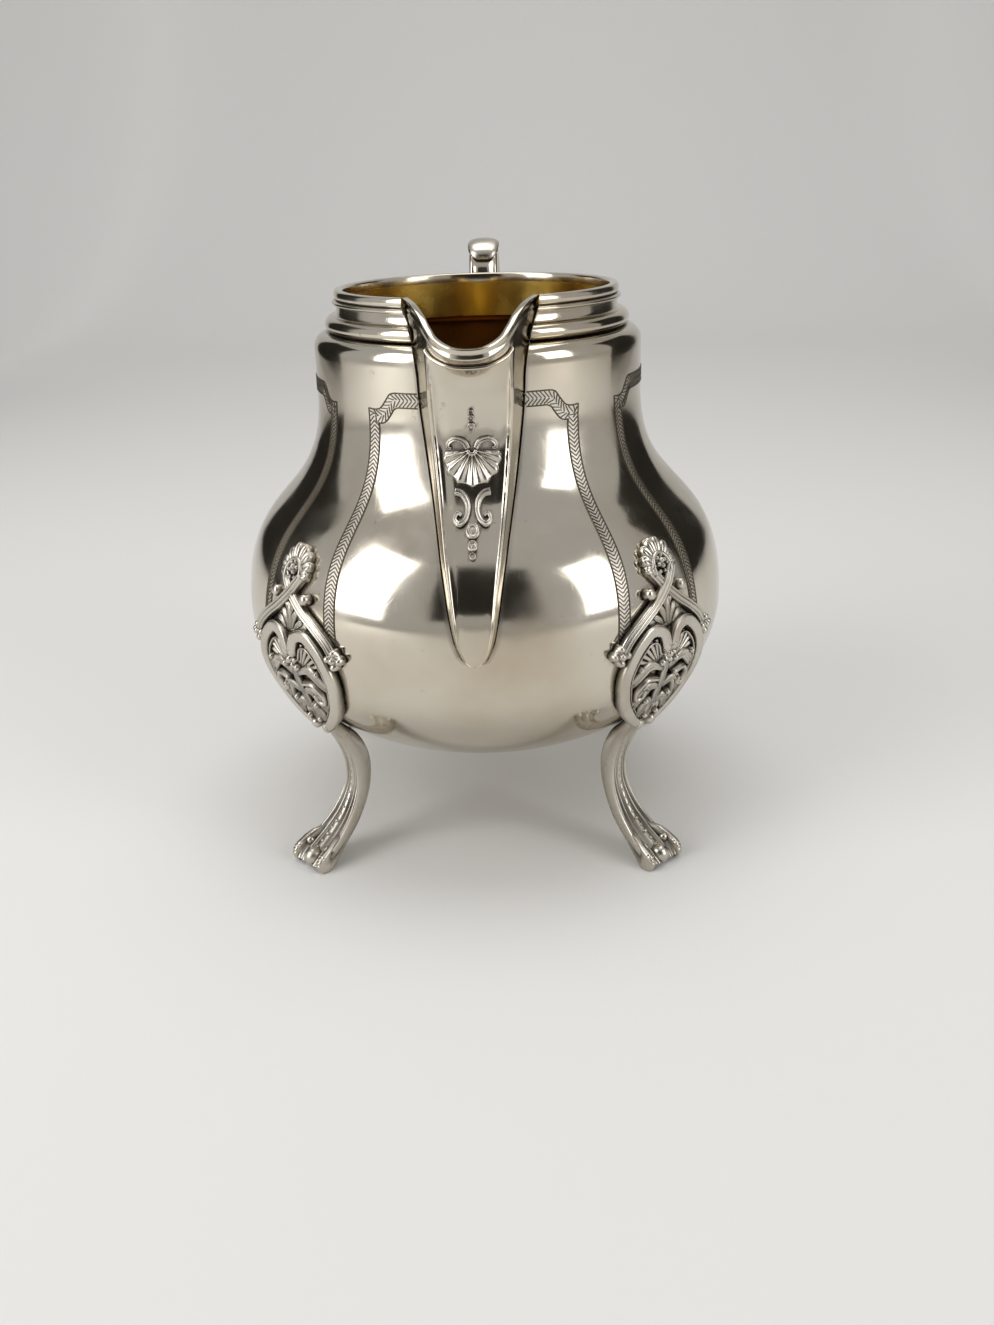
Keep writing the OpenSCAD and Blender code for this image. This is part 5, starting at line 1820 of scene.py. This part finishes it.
    def cut_tree(self) -> bpy.types.NodeTree:
        """Builds the tree that sets short leaning strokes along each path.

        Returns:
            The tree.
        """
        n, entry, curve = self.start_tree("bright_cuts", ["Cut Spacing", "Cut Length", "Cut Width", "Lean"])
        evenly = n.add("GeometryNodeResampleCurve", mode="LENGTH")
        n.link(curve.outputs["Curve"], evenly.inputs["Curve"])
        n.link(entry.outputs["Cut Spacing"], evenly.inputs["Length"])
        stroke = n.add("GeometryNodeMeshCube")
        size = n.add("ShaderNodeCombineXYZ")
        for source, axis in (("Cut Width", "X"), ("Cut Length", "Y"), ("Cut Width", "Z")):
            n.link(entry.outputs[source], size.inputs[axis])
        n.link(size.outputs["Vector"], stroke.inputs["Size"])
        normal = n.add("GeometryNodeInputNamedAttribute", data_type="FLOAT_VECTOR")
        normal.inputs["Name"].default_value = "outward"
        up = n.add("FunctionNodeAlignEulerToVector", axis="Z")
        n.link(normal.outputs["Attribute"], up.inputs["Vector"])
        along = n.add("FunctionNodeAlignEulerToVector", axis="X", pivot_axis="Z")
        n.link(up.outputs["Rotation"], along.inputs["Rotation"])
        n.link(n.add("GeometryNodeInputTangent").outputs["Tangent"], along.inputs["Vector"])
        place = n.add("GeometryNodeInstanceOnPoints")
        n.link(evenly.outputs["Curve"], place.inputs["Points"])
        n.link(stroke.outputs["Mesh"], place.inputs["Instance"])
        n.link(along.outputs["Rotation"], place.inputs["Rotation"])
        spin = n.add("ShaderNodeCombineXYZ")
        n.link(entry.outputs["Lean"], spin.inputs["Z"])
        rotate = n.add("GeometryNodeRotateInstances")
        n.link(place.outputs["Instances"], rotate.inputs["Instances"])
        n.link(spin.outputs["Vector"], rotate.inputs["Rotation"])
        return self.end_tree(n, entry, rotate.outputs["Instances"])

    def grow(self, obj: bpy.types.Object, tree: bpy.types.NodeTree, values: dict[str, object]) -> bpy.types.Object:
        """Runs a tree on an object and keeps the result as its plain mesh.

        Args:
            obj: The object.
            tree: The tree.
            values: The tree's inputs by name.

        Returns:
            The same object.
        """
        modifier = obj.modifiers.new("grow", "NODES")
        modifier.node_group = tree
        for item in tree.interface.items_tree:
            if item.in_out == "INPUT" and item.name in values:
                modifier[item.identifier] = values[item.name]
        baked = bpy.data.meshes.new_from_object(obj.evaluated_get(bpy.context.evaluated_depsgraph_get()))
        obj.modifiers.clear()
        obj.data = baked
        return settle(obj, Slot.PLATE, [])

    def build_bands(self, borders: Sequence[tuple[Array, Array]]) -> bpy.types.Object:
        """Makes the frosted band between the two lines of each border.

        Args:
            borders: The outer and inner line of each border.

        Returns:
            All the bands as one object.
        """
        mould = Mould()
        for outer, inner in borders:
            grids = []
            for proud in (self.lift, -self.sink):
                grids.append(np.array([[FORM.at_angle(*(a + (b - a) * w), proud)[0] for w in np.linspace(0, 1, 5)]
                                       for a, b in zip(outer, inner)]))
            mould.sheet(grids[0], grids[1])
        obj = mould.piece("frosted_bands", (Skin.FROSTED,))
        face_outwards(obj)
        soften(obj, 40)
        return settle(obj, Slot.PLATE, [])

    def build_all(self) -> None:
        """Lays every border on the body."""
        borders = self.borders()
        self.build_bands(borders)
        lines = self.path_object("engraved_lines", [line for pair in borders for line in pair], 0.0)
        self.grow(lines, self.line_tree(), {"Line Radius": self.line_r * MM, "Finish": Finishes.get(Skin.ENGRAVED)})
        tree = self.cut_tree()
        for name, way, sign in (("bright_cuts_outer", self.row_share, 1),
                                ("bright_cuts_inner", 1 - self.row_share, -1)):
            cuts = self.path_object(name, [a + (b - a) * way for a, b in borders], self.lift)
            self.grow(cuts, tree, {
                "Cut Spacing": self.cut_step * MM, "Cut Length": self.cut_long * MM, "Cut Width": self.cut_wide * MM,
                "Lean": sign * self.cut_lean, "Finish": Finishes.get(Skin.BRIGHT_CUT)})


# Studio


@dataclass
class Studio:
    """Camera, floor, backdrop and lamps."""

    focal_px: float = 1250.0
    height_px: float = 1325.0
    camera_at: tuple[float, float, float] = (12.3, -264.9, 137.0)
    pitch: float = 21.83
    yaw: float = 2.21
    roll: float = 1.63
    sweep_colour: tuple[float, float, float] = (0.8, 0.79, 0.77)
    flag_colour: tuple[float, float, float] = (0.03, 0.028, 0.025)
    room_colour: tuple[float, float, float] = (0.48, 0.48, 0.48)
    cards: tuple[tuple[tuple[float, float], tuple[float, float], float, float], ...] = (
        ((-0.2, -0.5), (0.24, -0.5), 0.1, 0.62),
        ((-0.52, 0.12), (-0.44, 0.6), 0.02, 0.5),
        ((0.52, 0.12), (0.46, 0.6), 0.02, 0.5))
    lamps: tuple[tuple[str, tuple[float, float, float], tuple[float, float], float], ...] = (
        ("window_left", (-0.62, -0.4, 0.42), (0.4, 0.75), 3.2),
        ("window_right", (0.66, -0.42, 0.36), (0.3, 0.6), 1.7),
        ("top_softbox", (0.0, 0.1, 0.95), (0.8, 0.6), 3.2))

    def build_camera(self) -> None:
        """Places the camera where the photograph was taken."""
        data = bpy.data.cameras.new("view")
        data.sensor_fit = "VERTICAL"
        data.sensor_height = 36.0
        data.lens = self.focal_px / self.height_px * 36.0
        data.clip_start = 0.01
        camera = new_object("view", data)
        x, y, z = self.camera_at
        aim = (Matrix.Rotation(math.radians(self.yaw), 4, "Z") @ Matrix.Rotation(math.radians(90 - self.pitch), 4, "X")
               @ Matrix.Rotation(math.radians(-self.roll), 4, "Z"))
        camera.matrix_world = Matrix.Translation(Vector((x, y + AXIS_Y, z)) * MM) @ aim
        bpy.context.scene.camera = camera

    def plain(self, name: str, colour: tuple[float, float, float]) -> bpy.types.Material:
        """Makes a plain matt studio material.

        Args:
            name: The material's name.
            colour: Its colour.

        Returns:
            The material.
        """
        mat = bpy.data.materials.new(name)
        mat.use_nodes = True
        shader = mat.node_tree.nodes["Principled BSDF"]
        shader.inputs["Base Color"].default_value = (*colour, 1)
        shader.inputs["Roughness"].default_value = 0.9
        shader.inputs["Specular IOR Level"].default_value = 0.1
        return mat

    def build_sweep(self) -> None:
        """Makes the pale floor that sweeps up into the backdrop."""
        half, depth, bend, height = 1.6, 0.75, 0.35, 1.6
        turn = np.linspace(0, np.pi / 2, 17)
        line = [(-half, 0.0)] + [(depth + bend * math.sin(a), bend * (1 - math.cos(a))) for a in turn]
        line.append((depth + bend, height))
        points = [(x, y, z) for y, z in line for x in (-half, half)]
        faces = [(2 * i, 2 * i + 1, 2 * i + 3, 2 * i + 2) for i in range(len(line) - 1)]
        mesh = bpy.data.meshes.new("sweep")
        mesh.from_pydata(points, [], faces)
        mesh.materials.append(self.plain("pale_sweep", self.sweep_colour))
        mesh.shade_smooth()
        obj = new_object("sweep", mesh)

    def build_cards(self) -> None:
        """Makes the dark cloths behind the camera and beside the view, which give the polished metal its darks."""
        points, faces = [], []
        for (x0, y0), (x1, y1), low, high in self.cards:
            faces.append(tuple(range(len(points), len(points) + 4)))
            points += [(x0, y0, low), (x1, y1, low), (x1, y1, high), (x0, y0, high)]
        mesh = bpy.data.meshes.new("dark_cards")
        mesh.from_pydata(points, [], faces)
        mesh.materials.append(self.plain("dark_cloth", self.flag_colour))
        obj = new_object("dark_cards", mesh)
        obj.visible_camera = False

    def build_world(self) -> None:
        """Makes the plain grey surroundings."""
        world = bpy.data.worlds.new("studio")
        bpy.context.scene.world = world
        world.use_nodes = True
        back = world.node_tree.nodes["Background"]
        back.inputs["Color"].default_value = (*self.room_colour, 1)
        back.inputs["Strength"].default_value = 1.0

    def build_lamps(self) -> None:
        """Makes the soft lamps."""
        for name, at, size, power in self.lamps:
            data = bpy.data.lights.new(name, "AREA")
            data.shape = "RECTANGLE"
            data.size, data.size_y = size
            data.energy = power
            lamp = new_object(name, data)
            lamp.location = at
            lamp.rotation_euler = (Vector(at) - Vector((0, 0, 0.06))).to_track_quat("Z", "Y").to_euler()

    def build(self) -> None:
        """Makes the whole studio."""
        bpy.context.scene.view_settings.view_transform = "Standard"
        self.build_camera()
        self.build_sweep()
        self.build_cards()
        self.build_world()
        self.build_lamps()


def main() -> None:
    """Builds the jug and its studio, and reports each piece."""
    logging.basicConfig(level=logging.INFO, format="%(name)s: %(message)s")
    Studio().build()
    vessel, spout, handle = Vessel(), Spout(), Handle()
    body = vessel.build_body()
    pieces = [body, vessel.build_collar(), vessel.build_rim()]
    pieces += [spout.build_sheet(), spout.build_lip(), spout.build_fillet(), spout.build_shell(),
               spout.build_scrolls()] + spout.build_beads()
    feet = Foot().build_all(body)
    pieces += handle.build() + handle.build_joints()
    # Painted shade: the other pieces darken in their recesses and where the feet or other pieces cover them.
    toning = PaintedRecessShade()
    tree = toning.tree(pieces + feet)
    for piece in pieces:
        toning.store(piece, tree)
    EngravedPanels().build_all()


if __name__ == "__main__":
    main()
